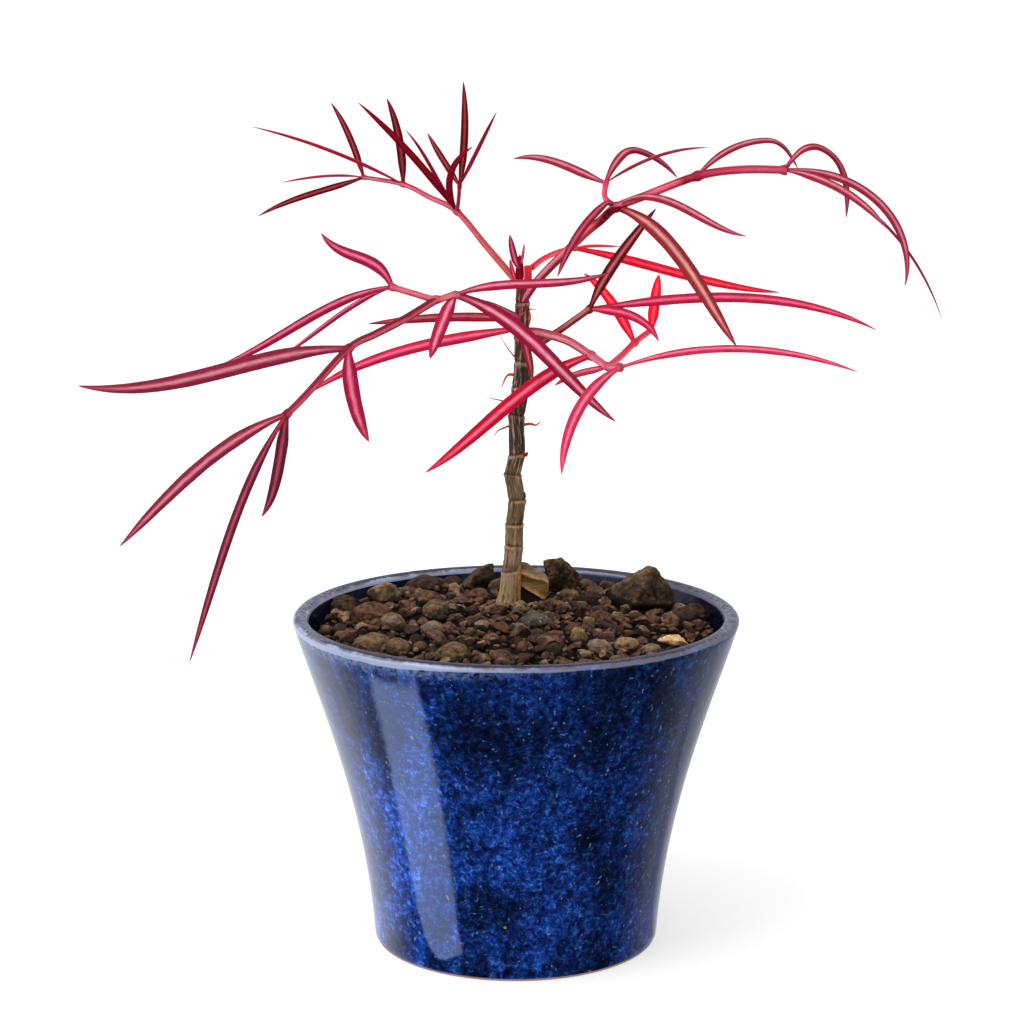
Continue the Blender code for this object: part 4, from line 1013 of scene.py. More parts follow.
def weathered(node, voxel, relief, seed):
    """A fine copy of a stone's solid, with its surface broken and pitted."""
    stone = remeshed(node, voxel)
    moves = []
    for vertex in stone.data.vertices:
        spot = vertex.co / MM
        broad = noise.fractal(spot / SWELL_SIZE + Vector((seed, 0, 0)), *STONE_UNEVEN)
        pits = noise.turbulence(spot / PIT_SIZE + Vector((0, seed, 0)), PIT_GRAINS, True)
        crags = noise.voronoi(spot / CRAG_SIZE + Vector((seed, seed, 0)))[0][0] - CRAG_MIDDLE
        moves.append(vertex.normal * relief * (broad - pits * PIT_DEPTH + crags * CRAG_RISE) * MM)
    for vertex, move in zip(stone.data.vertices, moves):
        vertex.co += move
    stone.data.shade_smooth()
    return stone


def build_rocks():
    for node, voxel, relief, seed, colour, deeper, vein in ROCKS:
        stone = weathered(node, voxel, relief, seed)
        stone.data.materials.append(stone_finish(node + "_face", colour, deeper, vein))
        place(stone, "stone", (node,))


# Stem
def stem_centre(height):
    levels, swings, _ = zip(*SCARS)
    x = FOOT[0] + np.interp(height, levels, swings) - FLARE_SHIFT * math.exp(-height / FLARE_HEIGHT)
    return np.array([x, FOOT[1] - STEM_LEAN * height / STEM_HEIGHT, FOOT_LEVEL + height])


def stem_radius(height):
    levels, _, swells = zip(*SCARS)
    taper = STEM_ROOT + (STEM_TOP - STEM_ROOT) * height / STEM_HEIGHT
    return taper + np.interp(height, levels, swells) + FLARE * math.exp(-height / FLARE_HEIGHT)


SCAR_LEAN = 0.25            # how far a scar's ring climbs to one side
SCAR_TURN = 0.6             # each ring climbs this far past the far side of the last, in radians
SCAR_WANDER = 0.25          # unevenness of the ring's height
RIDGE = 0.13                # how far a scar stands out
RIDGE_WIDTH = 0.45
RIDGE_BELOW = 0.6           # how far its middle is below the scar, against its width
GROOVE = 0.16               # the step just above a scar
GROOVE_WIDTH = 0.35
WAIST = 0.1                 # the stem is thinner between scars
FURROW = 0.09               # upright furrows
FURROW_GRAIN = (3.2, 7)     # furrows round the stem, and their length
BARK_LUMPS = 0.07           # height of the bark's lumps
LUMP_GRAIN = (2.4, 1.2)     # lumps round the stem, and their height


def scar_marks(height, turn):
    """Ridge and groove at a place on the bark, by its height and its turn about the stem."""
    ridge = groove = 0.0
    for number, (level, _, _) in enumerate(SCARS[1:-1]):
        side = math.pi * number + SCAR_TURN * number
        wander = SCAR_WANDER * wave(math.cos(turn), number, 0)
        edge = level + SCAR_LEAN * math.cos(turn - side) + wander
        ridge = max(ridge, math.exp(-((height - edge + RIDGE_WIDTH * RIDGE_BELOW) / RIDGE_WIDTH) ** 2))
        groove = max(groove, math.exp(-((height - edge - GROOVE_WIDTH) / GROOVE_WIDTH) ** 2))
    return ridge, groove


def waist(height):
    """0 at a leaf scar and 1 half way to the next one."""
    levels = [level for level, _, _ in SCARS]
    for below, above in zip(levels, levels[1:]):
        if height <= above:
            return math.sin(math.pi * (height - below) / (above - below))
    return 0.0


def bark_point(height, turn, centre, radius):
    """A point of the bark, with its form and its place for the fibres."""
    x, y = math.cos(turn), math.sin(turn)
    ridge, groove = scar_marks(height, turn)
    across, along = FURROW_GRAIN
    furrow = wave(x * across, y * across, height / along)
    across, along = LUMP_GRAIN
    lumps = noise.fractal(Vector((x * across, y * across, height / along)), *BARK_UNEVEN)
    out = radius + RIDGE * ridge - GROOVE * groove + FURROW * furrow + BARK_LUMPS * lumps
    return (centre + (out * x, out * y, 0), (ridge, height / STEM_HEIGHT, groove),
            (radius * x * FIBRE_SPREAD, height, radius * y * FIBRE_SPREAD))


def build_stem():
    rows = []
    for height in np.linspace(0, STEM_HEIGHT, int(STEM_HEIGHT / STEM_STEP)):
        centre, radius = stem_centre(height), stem_radius(height) - WAIST * waist(height)
        rows.append([bark_point(height, turn, centre, radius) for turn in turns(STEM_SIDES)])
    rings, form, grain = ([[point[part] for point in row] for row in rows] for part in range(3))
    stem = Surface()
    stem.wrap(rings, form=form, grain=grain)
    stem.piece("stem_with_bark", [bark_finish()], "bark", ("trunk",))


# Fine parts on the stem, each a thin horn: points, root radius, colour number
HORN_TONES = ((228, 82, 30), (206, 92, 40), (240, 82, 84), (58, 18, 28), (158, 20, 34),
              (190, 126, 66))
HORNS = (
    (((2.7, 6.0, 157.7), (3.9, 5.8, 158.0), (5.0, 5.8, 157.8)), 0.22, 0),
    (((2.9, 5.8, 157.9), (1.7, 4.0, 157.2), (0.3, 3.7, 155.6)), 0.2, 1),
    (((3.1, 5.0, 157.6), (3.5, 4.8, 155.8), (3.0, 5.0, 153.4)), 0.35, 0),
    (((0.0, 6.6, 145.6), (-2.3, 6.6, 148.6), (-4.0, 6.6, 151.5)), 0.2, 1),
    (((-0.4, 7.6, 141.6), (-2.2, 7.4, 141.3), (-3.6, 7.8, 138.4)), 0.42, 0),
    (((-1.4, 8.6, 134.4), (-4.8, 8.5, 135.2), (-6.9, 8.5, 135.5)), 0.22, 1),
    (((-1.2, 9.4, 128.6), (-3.2, 9.2, 127.9), (-4.5, 9.2, 127.2), (-5.5, 9.4, 125.8)), 0.3, 1),
    (((1.4, 9.4, 128.6), (3.5, 9.2, 129.0), (4.9, 9.1, 128.7), (6.2, 9.1, 129.6)), 0.42, 0),
    (((1.2, 9.3, 121.6), (2.4, 9.0, 121.2), (2.9, 9.1, 121.9)), 0.75, 4),
    (((-1.4, 9.9, 115.4), (-2.3, 9.9, 116.0), (-2.4, 10.2, 117.0)), 0.6, 2),
    (((1.2, 11.0, 109.8), (2.1, 10.9, 110.2), (2.2, 11.0, 111.4)), 0.6, 3),
    (((0.5, 12.7, 92.4), (0.75, 12.5, 88.0), (0.8, 12.6, 82.0)), 0.85, 5),
)
HORN_SIDES = 12
HORN_TIP = 0.26             # tip radius against the root's
HORN_TAPER = 1.3            # above 1 a horn thins mostly near its tip
HORN_GLOSS = {"Roughness": 0.45, "Specular IOR Level": 0.35}
HORN_DEEPER = 0.62
HORN_PATCHES = Grain(0.8, 5, 0.65)
HORN_RELIEF = 0.04
PATCH_FULL = 0.62           # where a horn's or the bud's paler colour is full


def horn_rings(points, radius):
    """A thin tapering horn along a smooth line."""
    line, _ = smooth_line(points, samples=8)
    shares = np.linspace(0, 1, len(line))
    radii = radius * (1 - (1 - HORN_TIP) * shares ** HORN_TAPER)
    return round_rings(line, radii, HORN_SIDES)


def round_rings(line, radii, sides):
    """Circles square to the path, carried along it without twist."""
    rings = []
    axis = tangents(line)
    across = unit(np.cross(axis[0], ACROSS))
    for centre, direction, radius in zip(line, axis, radii):
        across = unit(across - direction * np.dot(across, direction))
        other = np.cross(direction, across)
        radius = np.broadcast_to(radius, sides)
        rings.append([centre + r * (math.cos(a) * across + math.sin(a) * other)
                      for r, a in zip(radius, turns(sides))])
    return rings


def build_horns():
    horns = Surface()
    for points, radius, number in HORNS:
        horns.wrap(horn_rings(points, radius), number)
    materials = []
    for number, colour in enumerate(HORN_TONES):
        tones = ([value * HORN_DEEPER for value in colour], colour)
        materials.append(
            plain_finish(f"horn_{number}", HORN_GLOSS, HORN_PATCHES, tones, HORN_RELIEF, PATCH_FULL))
    horns.piece("stem_horns_and_buds", materials, "bark")


BUD = ((20.0, -8.0, 180.9), (21.3, -10.3, 182.5), (22.9, -12.9, 183.8), (25.4, -14.6, 184.8))
BUD_SHIFT = (0.1, -0.9, -0.1)   # it lies this far off the stalk
BUD_RADII = ((0, 0.35), (0.3, 0.95), (0.6, 0.85), (1, 0.12))
BUD_GLOSS = {"Roughness": 0.5, "Specular IOR Level": 0.02}
BUD_TONES = ((72, 0, 8), (128, 6, 24))
BUD_PATCHES = Grain(1.0, 5, 0.65)
BUD_RELIEF = 0.05


def build_bud():
    """The dark curled bud that lies along the arching stalk, under its fork."""
    line, _ = smooth_line([np.array(p) + BUD_SHIFT for p in BUD], samples=10)
    radii = np.interp(np.linspace(0, 1, len(line)), *zip(*BUD_RADII))
    bud = Surface()
    bud.wrap(round_rings(line, radii, STALK_SIDES))
    finish = plain_finish("curled_bud", BUD_GLOSS, BUD_PATCHES, BUD_TONES, BUD_RELIEF, PATCH_FULL)
    bud.piece("curled_bud", [finish], "tip")


# The old shoot's husk, a thin hood open to the front: x, level, half height and half depth
HUSK_SECTIONS = ((1.3, 86.7, 5.9, 2.0), (3.0, 86.8, 5.7, 2.4), (4.6, 86.5, 4.8, 2.4),
                 (6.4, 86.4, 4.0, 2.2), (7.4, 86.3, 3.3, 1.7), (8.0, 86.4, 2.4, 1.1),
                 (8.3, 86.6, 1.2, 0.5))
# Its two ridges: x, level of the upper one and of the lower one
HUSK_RIDGES = ((1.3, 90.2, 87.0), (5.2, 88.8, 84.6), (7.0, 88.4, 83.2), (8.3, 87.6, 82.4))
HUSK_DEPTH = 14.5
HUSK_SIDES = 72
HUSK_RINGS = 48
RIDGE_REACH = 0.55          # half the width of a ridge
HUSK_UPPER = 0.7            # how far the part above them stands forward, against the ridges
HUSK_HOLLOW = 0.45          # and the panel between them
HUSK_VOID = -0.5            # and the hollow under the lower one
HUSK_CREASE = 0.05          # unevenness of the husk against its size
CREASE_GRAIN = (2, 1.5)     # length of a crease, and creases round the husk
HUSK_GLOSS = {"Roughness": 0.45, "Specular IOR Level": 0.3}
HUSK_FIBRES = Grain(1.2, 5, 0.6, stretch=(0.35, 1, 2))
PANEL_TONES = ((92, 66, 24), (142, 106, 46))
RIDGE_TONES = ((150, 112, 72), (198, 160, 112))
UPPER_TONES = ((92, 68, 48), (148, 116, 82))
# painted shade in the hollow under the lower ridge
HOLLOW_SHADE_TONE = tint(30, 20, 14)
HUSK_RELIEF = 0.2


def husk_finish():
    """Thin dry husk: olive-gold between tan ridges, brown above and nearly black below, the black being
    painted shade in the hollow.
    """
    husk = Finish("ochre_husk", HUSK_GLOSS)
    form = husk.form()
    fibres = husk.noise(HUSK_FIBRES)
    panel = husk.dealt(fibres, *PANEL_TONES)
    ridge = husk.dealt(fibres, *RIDGE_TONES)
    upper = husk.dealt(fibres, *UPPER_TONES)
    colour = husk.mix(form["Y"], upper, panel)
    colour = husk.mix(form["Z"], colour, HOLLOW_SHADE_TONE)
    husk.set("Base Color", husk.mix(form["X"], colour, ridge))
    husk.set("Normal", husk.bump(fibres, HUSK_RELIEF))
    return husk.material


def husk_front(height, ridges):
    """How far the front stands out at a height, and its shares of ridge, panel and the hollow's painted
    shade.
    """
    upper, lower = ridges
    ridge = max(math.exp(-((height - level) / RIDGE_REACH) ** 2) for level in ridges)
    if height > upper:
        base, panel, hollow_shade = HUSK_UPPER, 0.0, 0.0
    elif height > lower:
        base, panel, hollow_shade = HUSK_HOLLOW, 1.0, 0.0
    else:
        base, panel, hollow_shade = HUSK_VOID, 0.0, 1.0
    return base + (1 - base) * ridge, (ridge, panel, hollow_shade)


def build_husk():
    xs, *columns = zip(*HUSK_SECTIONS)
    ridge_xs, *ridge_levels = zip(*HUSK_RIDGES)
    crease_long, crease_round = CREASE_GRAIN
    rings, form = [], []
    for x in np.linspace(xs[0], xs[-1], HUSK_RINGS):
        level, tall, deep = (np.interp(x, xs, column) for column in columns)
        ridges = [np.interp(x, ridge_xs, levels) for levels in ridge_levels]
        ring, shares = [], []
        for a in turns(HUSK_SIDES):
            crease = 1 + HUSK_CREASE * wave(x / crease_long, math.cos(a) * crease_round,
                                            math.sin(a) * crease_round)
            height = level + tall * crease * math.sin(a)
            out, share = 1.0, (0.0, 0.0, 0.0)
            if math.cos(a) < 0:
                out, share = husk_front(height, ridges)
            ring.append((x, HUSK_DEPTH + deep * crease * math.cos(a) * out, height))
            shares.append(share)
        rings.append(ring)
        form.append(shares)
    husk = Surface()
    husk.wrap(rings, form=form)
    husk.piece("old_shoot_husk", [husk_finish()], "husk", ("old_shoot_stub",))


# Leaflets
def leaflet_path(root, leaf):
    """Centre points of a leaflet from its joint to its tip, and how far it has folded over."""
    share = (np.arange(PATH_STEPS) + 0.5) / PATH_STEPS
    folded = np.clip((share - leaf.fold_at) / FOLD_SPAN + 0.5, 0, 1)
    rise = np.radians(leaf.rise + leaf.bend * share + leaf.curl * share ** 2 - leaf.fold * folded)
    heading = np.radians(leaf.heading + leaf.sweep * share)
    level = np.cos(rise)
    step = np.stack([level * np.cos(heading), level * np.sin(heading), np.sin(rise)], axis=1)
    walk = np.cumsum(step * leaf.length / PATH_STEPS, axis=0)
    return np.vstack([root, root + walk]), np.append(folded, folded[-1])


def leaflet_breadth(share):
    swell = min(1.0, share / LEAFLET_SWELL)
    opening = LEAFLET_ROOT + (1 - LEAFLET_ROOT) * swell * swell * (3 - 2 * swell)
    closing = max(0.0, (share - LEAFLET_TAPER) / (1 - LEAFLET_TAPER))
    return opening * (1 - closing ** LEAFLET_POINT) ** LEAFLET_BLUNT


def leaflet_section():
    """Places across and above the middle of a lens-shaped section, one side a little channelled."""
    section = []
    for a in turns(LEAFLET_SIDES):
        x, rise = math.cos(a), -math.sin(a)
        lift = LEAFLET_THICK * rise * abs(rise) ** LEAFLET_EDGE
        if rise > 0:
            lift *= 1 - LEAFLET_CHANNEL * math.exp(-(x / CHANNEL_WIDTH) ** 2)
        section.append((x, lift))
    return section


SECTION = leaflet_section()


def add_leaflet(surface, root, leaf, number, seed):
    path, folded = leaflet_path(np.array(root, float), leaf)
    axis = tangents(path)
    face = math.radians(leaf.face)
    outward = np.array((0, -math.sin(face), math.cos(face)))
    rings, form, grain = [], [], []
    for share in np.linspace(0, LEAFLET_TIP, LEAFLET_RINGS + 1):
        index = round(share * PATH_STEPS)
        normal = unit(outward - axis[index] * np.dot(outward, axis[index]))
        along = share * leaf.length
        half = leaf.width / 2 * leaflet_breadth(share)
        half *= 1 + LEAFLET_WANDER * wave(along / WANDER_GRAIN, seed, 0)
        across = np.cross(axis[index], normal) * half
        over = leaf.fold and folded[index]
        rings.append([path[index] + x * across + lift * half * normal for x, lift in SECTION])
        form.append([(1 - abs(x), share, over if lift >= 0 else 1 - over) for x, lift in SECTION])
        grain.append([(x * half, along, seed * SEED_STEP + lift * half) for x, lift in SECTION])
    surface.wrap(rings, number, form, grain, tip=path[-1])


# Stalks, each through its joints
TOP_LEFT = Stalk(((1.7, 5.3, 162.4), (-0.6, 6.4, 165.5), (-7.6, 9, 173.5), (-14.5, 12, 181.3),
                  (-21.5, 16, 184.6), (-28, 20, 187.4), (-38.2, 28, 188.6)),
                 0.9, 0.5, (3, 5, 6), "top_left")
TOP_LEFT_SIDE = Stalk(((-14.5, 12, 181.3), (-14, 8.5, 184.5), (-13.7, 6, 188.0)),
                      0.5, 0.45, (2,), "side")
ARCHING = Stalk(((1.8, 4.8, 160.2), (6, 2.5, 166.2), (15.5, -4, 176.4), (20.3, -8, 180.9),
                 (23.6, -12, 184.2), (30.4, -15, 187.2), (42.2, -20, 192.1), (52, -21, 193.6),
                 (62.3, -22, 193.6)), 1.05, 0.95, (4, 6, 8), "arching")
ARCHING_SIDE = Stalk(((23.6, -12, 184.2), (21, -11.5, 186.4), (21.2, -10, 189.8)),
                     0.75, 0.6, (2,), "arching_side")
LEFT = Stalk(((1.2, 6.2, 155.4), (-5, -4, 159.6), (-9.5, -15, 162.2), (-14.2, -26, 165.0),
              (-18.4, -29, 164.3), (-23.5, -30.5, 165.8), (-28.6, -32, 167.5)),
             0.95, 0.75, (3, 4, 6), "left")
DROOPING = Stalk(((-18.4, -29, 164.3), (-26, -36, 160.4), (-32, -40, 157.7), (-38, -44, 154.8),
                  (-46.9, -52, 145.7), (-51.2, -55, 141.6)), 0.95, 0.8, (3, 5), "drooping")
RIGHT = Stalk(((1.8, 7.6, 148.6), (5, 7.6, 149.3), (9, 6.5, 151.5), (17.9, 0, 158.7)),
              1.6, 0.85, (3,), "right", fade=5)
LOWER_RIGHT = Stalk(((1.5, 6.4, 152.0), (5.5, 5, 152.3), (12.3, 2, 150.8), (18.3, 0, 147.3),
                     (22.3, -6, 145.4), (25, -8, 145.5)), 1.25, 0.85, (3, 4, 5), "lower_right")
RED_TWIG = Stalk(((22.3, -6, 145.4), (25.8, 1, 147.2), (29.2, 8, 149.4), (33.9, 20, 151.1)),
                 0.85, 0.75, (2, 3), "red_twig")
BACK_POST = Stalk(((2.2, 6.1, 161.5), (2.9, 8.3, 164.5), (2.9, 10, 168.0)),
                  1.05, 0.95, (), "back_post")
BACK = Stalk(((3.9, 11.3, 167.6), (7, 17, 169.3), (11.1, 25, 170.3), (15, 32, 170.4)),
             0.75, 0.6, (3,), "back")

# Each stalk's piece and the solids it stands for; a side stalk has no solid of its own
STALKS = {
    "top_left_stalk": (TOP_LEFT, ("stalk_top_left", "stalk_top_left_middle", "stalk_top_left_outer")),
    "top_left_side_stalk": (TOP_LEFT_SIDE, ()),
    "arching_stalk": (ARCHING, ("stalk_arching", "stalk_arching_middle", "stalk_arching_outer")),
    "arching_side_stalk": (ARCHING_SIDE, ()),
    "left_stalk": (LEFT, ("stalk_left", "stalk_left_outer")),
    "drooping_stalk": (DROOPING, ("stalk_drooping", "stalk_drooping_outer")),
    "right_stalk": (RIGHT, ("stalk_right",)),
    "lower_right_stalk": (LOWER_RIGHT, ("stalk_lower_right",)),
    "red_twig_stalk": (RED_TWIG, ("stalk_red_twig",)),
    "back_post_stalk": (BACK_POST, ("stalk_back_post",)),
    "back_stalk": (BACK, ("stalk_back",)),
}

# Leaflets by the node they stand for: the stalk, and the joint that carries them
SPRAYS = {
    "spray_top_left_inner": ((TOP_LEFT, 3, (
        Leaflet("wine", 40, -137, 48, bend=-10, sweep=-10, width=1.8, face=70),
        Leaflet("wine", 32, 122, 34, bend=35, curl=-45, width=1.2, face=5),
        Leaflet("wine", 25, -122, 42, bend=30, curl=-45, sweep=90, width=1.7),
    )), (TOP_LEFT_SIDE, 2, (
        Leaflet("maroon", 28, -69, 67, bend=-10, curl=10, sweep=-30, width=1.9),
        Leaflet("wine", 31, 70, 32, bend=5, curl=-5, width=1.2, face=10),
        Leaflet("maroon", 19, 124, 39, bend=-5, curl=10, width=1.6),
    ))),
    "spray_top_left_middle": ((TOP_LEFT, 5, (
        Leaflet("crimson", 43, 162, 26, bend=-15, width=2.2, face=0),
        Leaflet("maroon", 25, -87, 63, curl=-10, sweep=-35, width=2.1),
    )),),
    "spray_top_left_tip": ((TOP_LEFT, 6, (
        Leaflet("maroon", 21, 136, 67, bend=-5, curl=-10, sweep=20, width=1.7),
        Leaflet("pink_crimson", 29, 141, 4, bend=-25, curl=10, width=1.8, face=0),
        Leaflet("maroon", 31, -148, -16, bend=20, curl=-30, width=1.6),
    )),),
    "spray_arching_inner": ((ARCHING, 4, (
        Leaflet("plum_rose", 28, -143, 83, bend=-25, sweep=25, width=2.0, face=60, fold=110, fold_at=0.05),
        Leaflet("brown_rose", 58, -50, -6, bend=-95, curl=75, sweep=-20, width=3.4),
        Leaflet("rose", 44, -46, 34, bend=-165, curl=130, sweep=-5, width=2.4, face=50),
    )), (ARCHING_SIDE, 2, (
        Leaflet("rose", 32, 132, 11, bend=30, curl=-55, sweep=5, width=2.3, face=60),
        Leaflet("rose", 27, 50, 60, bend=-75, sweep=-30, width=2.2, face=50, fold=35, fold_at=0.4),
        Leaflet("rose", 27, -19, 35, bend=-25, curl=-10, width=2.0, face=10),
    ))),
    "spray_arching_middle": ((ARCHING, 6, (
        Leaflet("rose", 35, 38, 41, bend=-65, sweep=-10, width=1.9, face=50, fold=35, fold_at=0.75),
    )),),
    "spray_arching_tip": ((ARCHING, 8, (
        Leaflet("plum_rose", 32, 9, 61, bend=-130, sweep=55, width=2.0, face=50, fold=35,
                fold_at=0.25),
        Leaflet("rose", 33, -37, -6, bend=-30, sweep=-20, width=2.3, face=50),
        Leaflet("rose", 59, 13, -12, bend=-65, curl=10, sweep=15, width=1.8, face=10),
        Leaflet("rose", 45, 0, 2, bend=-65, curl=-40, sweep=-20, face=50),
    )),),
    "spray_left_near": ((LEFT, 3, (
        Leaflet("orchid", 38, 15, 19, bend=-75, curl=75, width=2.5, face=55),
        Leaflet("bright_orchid", 54, 25, -16, bend=-90, curl=70, width=3.6),
        Leaflet("orchid", 23, -111, -30, bend=-15, curl=15, sweep=10, width=3.2),
    )),),
    "spray_left_tip": ((LEFT, 6, (
        Leaflet("magenta", 27, 129, 59, bend=-185, curl=175, sweep=15, width=2.8, face=75),
        Leaflet("magenta", 49, 166, -8, bend=-80, curl=70, width=2.6, face=50),
        Leaflet("magenta", 47, 133, -16, bend=-40, curl=30, width=2.0, face=50),
    )),),
    "spray_drooping_middle": ((DROOPING, 3, (
        Leaflet("mauve", 62, -163, 3, bend=-70, curl=80, width=3.5),
        Leaflet("magenta", 31, -87, -36, bend=-5, curl=15, sweep=20, width=3.5),
    )),),
    "spray_drooping_tip": ((DROOPING, 5, (
        Leaflet("mauve", 51, 172, -21, bend=-55, curl=30, width=3.0),
        Leaflet("deep_mauve", 60, -145, -49, bend=-45, curl=35, sweep=25, width=2.1),
        Leaflet("deep_mauve", 29, 112, -60, bend=-45, curl=60, sweep=20, width=2.7),
    )),),
    "spray_right": ((RIGHT, 3, (
        Leaflet("dark_salmon", 33, -54, 59, bend=-30, curl=20, sweep=20, width=2.6),
        Leaflet("bright_crimson", 71, -14, 9, curl=-35, width=2.5, face=70),
        Leaflet("bright_crimson", 21, -20, -1, bend=5, curl=-65, sweep=-20, width=2.4, face=70),
    )),),
    "spray_lower_right": ((LOWER_RIGHT, 3, (
        Leaflet("strong_crimson", 58, -143, -8, bend=-70, curl=60, sweep=10, width=3.4),
    )), (LOWER_RIGHT, 4, (
        Leaflet("pink", 26, 121, -15, bend=15, curl=-30, width=2.3, face=60),
    )), (LOWER_RIGHT, 5, (
        Leaflet("pink", 59, -16, 21, bend=-40, width=2.2, face=50),
        Leaflet("pink", 54, -122, -9, bend=-30, curl=15, sweep=30, width=2.7),
    ))),
    "spray_red_twig": ((RED_TWIG, 2, (
        Leaflet("glowing_red", 27, 113, 37, bend=15, curl=-30, sweep=20, width=2.6),
    )), (RED_TWIG, 3, (
        Leaflet("glowing_red", 20, 80, 38, bend=20, curl=-30, width=2.8),
    ))),
    "spray_back": ((BACK, 3, (
        Leaflet("glowing_red", 72, 36, -11, bend=-20, curl=25, width=2.5),
        Leaflet("glowing_red", 36, 69, 0, bend=-15, curl=10, width=2.0, face=10),
    )),),
}

# Single leaflets that spring straight from the stem
STEM_LEAFLETS = {
    "leaflet_behind_upper": (
        (1.4, 6.0, 155.1), Leaflet("plum", 56, 136, 1, bend=-20, curl=10, width=2.7, face=60)),
    "leaflet_behind_lower": (
        (1.4, 6.2, 153.3),
        Leaflet("bright_crimson", 60, 159, -11, bend=5, curl=-30, sweep=10, width=2.9, face=70)),
    "bract_front": (
        (1.4, 6.0, 154.6), Leaflet("bract", 15, -87, -51, bend=-25, curl=-10, sweep=65, width=2.2)),
}

# The growing tip's blades: root and blade
TIP_BLADES = (
    ((0.9, 4.6, 164.0), Leaflet("wine", 7.5, 100, 86, bend=10, width=2.0, face=85)),
    ((0.6, 4.2, 168.0), Leaflet("magenta", 8.6, 165, 66, bend=25, curl=-10, width=1.7, face=85)),
    ((0.9, 4.4, 168.4), Leaflet("bright_crimson", 6.0, 10, 72, bend=15, width=0.7)),
    ((0.0, 4.6, 164.8), Leaflet("bright_crimson", 5.8, 190, 68, bend=15, width=1.1)),
)


def flank_highlight_shares(line, rings):
    """1 where a stalk's surface looks level to one side, 0 where it looks up or down: where its painted
    highlight goes.
    """
    shares = []
    for centre, direction, ring in zip(line, tangents(line), rings):
        level = unit(np.cross(direction, STALK_UP))
        shares.append([abs(float(np.dot(unit(point - centre), level))) for point in ring])
    return shares


def build_stalk(name, stalk, stands_for, material, seed):
    """A finely lined stalk, swollen at its joints."""
    length = stalk.along[-1] + (END_CAP if stalk.joints else 0)
    stations = np.linspace(0, length, max(STALK_FEWEST, math.ceil(length / STALK_STEP)))
    line = np.array([stalk.at(s) for s in stations])
    spots = [(math.cos(a), math.sin(a)) for a in turns(STALK_SIDES)]
    across, along = STALK_GRAIN
    radii, form, grain = [], [], []
    for s in stations:
        knob = stalk.knob(s)
        radius = stalk.radius(s) * (1 + KNOB * knob)
        lines = [STALK_LINE * wave(x * across, y * across, s / along + seed) for x, y in spots]
        radii.append([radius * (1 + k) for k in lines])
        form.append((knob, s / length))
        grain.append([(radius * x * FIBRE_SPREAD, s, radius * y * FIBRE_SPREAD + seed * SEED_STEP)
                      for x, y in spots])
    rings = round_rings(line, radii, STALK_SIDES)
    form = [[(*shared, flank) for flank in highlight_flanks]
            for shared, highlight_flanks in zip(form, flank_highlight_shares(line, rings))]
    surface = Surface()
    surface.wrap(rings, form=form, grain=grain)
    surface.piece(name, [material], "stalk", stands_for)


def build_leaflets():
    finishes = {name: leaf_finish(name, tone) for name, tone in LEAF_TONES.items()}
    seeds = itertools.count(1)

    def spray(name, rows, slot, stands_for):
        surface = Surface()
        tones = sorted({leaf.tone for _, leaf in rows})
        for root, leaf in rows:
            add_leaflet(surface, root, leaf, tones.index(leaf.tone), next(seeds))
        surface.piece(name, [finishes[tone] for tone in tones], slot, stands_for)

    for node, joints in SPRAYS.items():
        rows = [(stalk.at(stalk.marks[joint]), leaf) for stalk, joint, leaves in joints for leaf in leaves]
        spray(node + "_leaflets", rows, "leaflet", (node,))
    for node, row in STEM_LEAFLETS.items():
        spray(node + "_blade", [row], "leaflet", (node,))
    spray("growing_tip_blades", TIP_BLADES, "tip", ("growing_tip",))


def build_stalks():
    finishes = {name: stalk_finish(name, tone) for name, tone in STALK_TONES.items()}
    for seed, (name, (stalk, stands_for)) in enumerate(STALKS.items(), 1):
        build_stalk(name, stalk, stands_for, finishes[stalk.tone], seed)


SOIL_GLOSS = {"Roughness": 0.95, "Specular IOR Level": 0.15}
SOIL_CRUMBS = Grain(1.2, 6, 0.75)
# The soil is dark, and painted near black so that the gaps between the grains read as shade
SOIL_AND_GAP_SHADE_TONES = ((8, 5, 4), (34, 24, 19))
CRUMB_RELIEF = 0.8


def dress_soil():
    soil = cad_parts["soil"]
    soil.data.materials.clear()
    soil.data.materials.append(
        plain_finish("dark_soil_and_gap_shade", SOIL_GLOSS, SOIL_CRUMBS, SOIL_AND_GAP_SHADE_TONES, CRUMB_RELIEF))


# Studio
FLOOR_RADIUS = 1500
FLOOR_SIDES = 96
DOME_RADIUS = 3000
DOME_MIDDLE = (0.5, 0.5, 0.5)   # in its own box, which goes from 0 to 1
DOME_REACH = (-0.5, 0.5)
WHITE = grey(1.0)
# The floor glows a little, so shadows on it are faint
FLOOR_FINISH = {"Base Color": grey(0.5), "Roughness": 0.9, "Specular IOR Level": 0.1,
                "Emission Color": WHITE, "Emission Strength": 0.5}
SUN_FROM = (-0.55, -0.35, 0.9)
SUN_STRENGTH = 1.6
SUN_SPREAD = 40             # degrees across: a wide lamp with soft shadows
ROOM_LIGHT = (1.0, 1.2)     # the room's light, from the far side and from the lamp's side
# What shiny surfaces mirror: the room, and below the horizon the dark front and the back wall
MIRROR_ROOM = (0.35, 0.75)
MIRROR_TURN = (-0.6, 1.0)   # the room turns from dark to light towards the lamp
MIRROR_FRONT = 0.04
MIRROR_BACK = (1.4, 0.4)    # from the left to the right
MIRROR_ACROSS = (-0.8, 0.8)
MIRROR_BEHIND = (0.0, 0.5)  # from the front to the back wall
MIRROR_HORIZON = (-0.02, 0.08)
MIRROR_TONE = (0.84, 0.88, 1.0, 1.0)
CARD_LEVEL = 0.5            # height above the floor
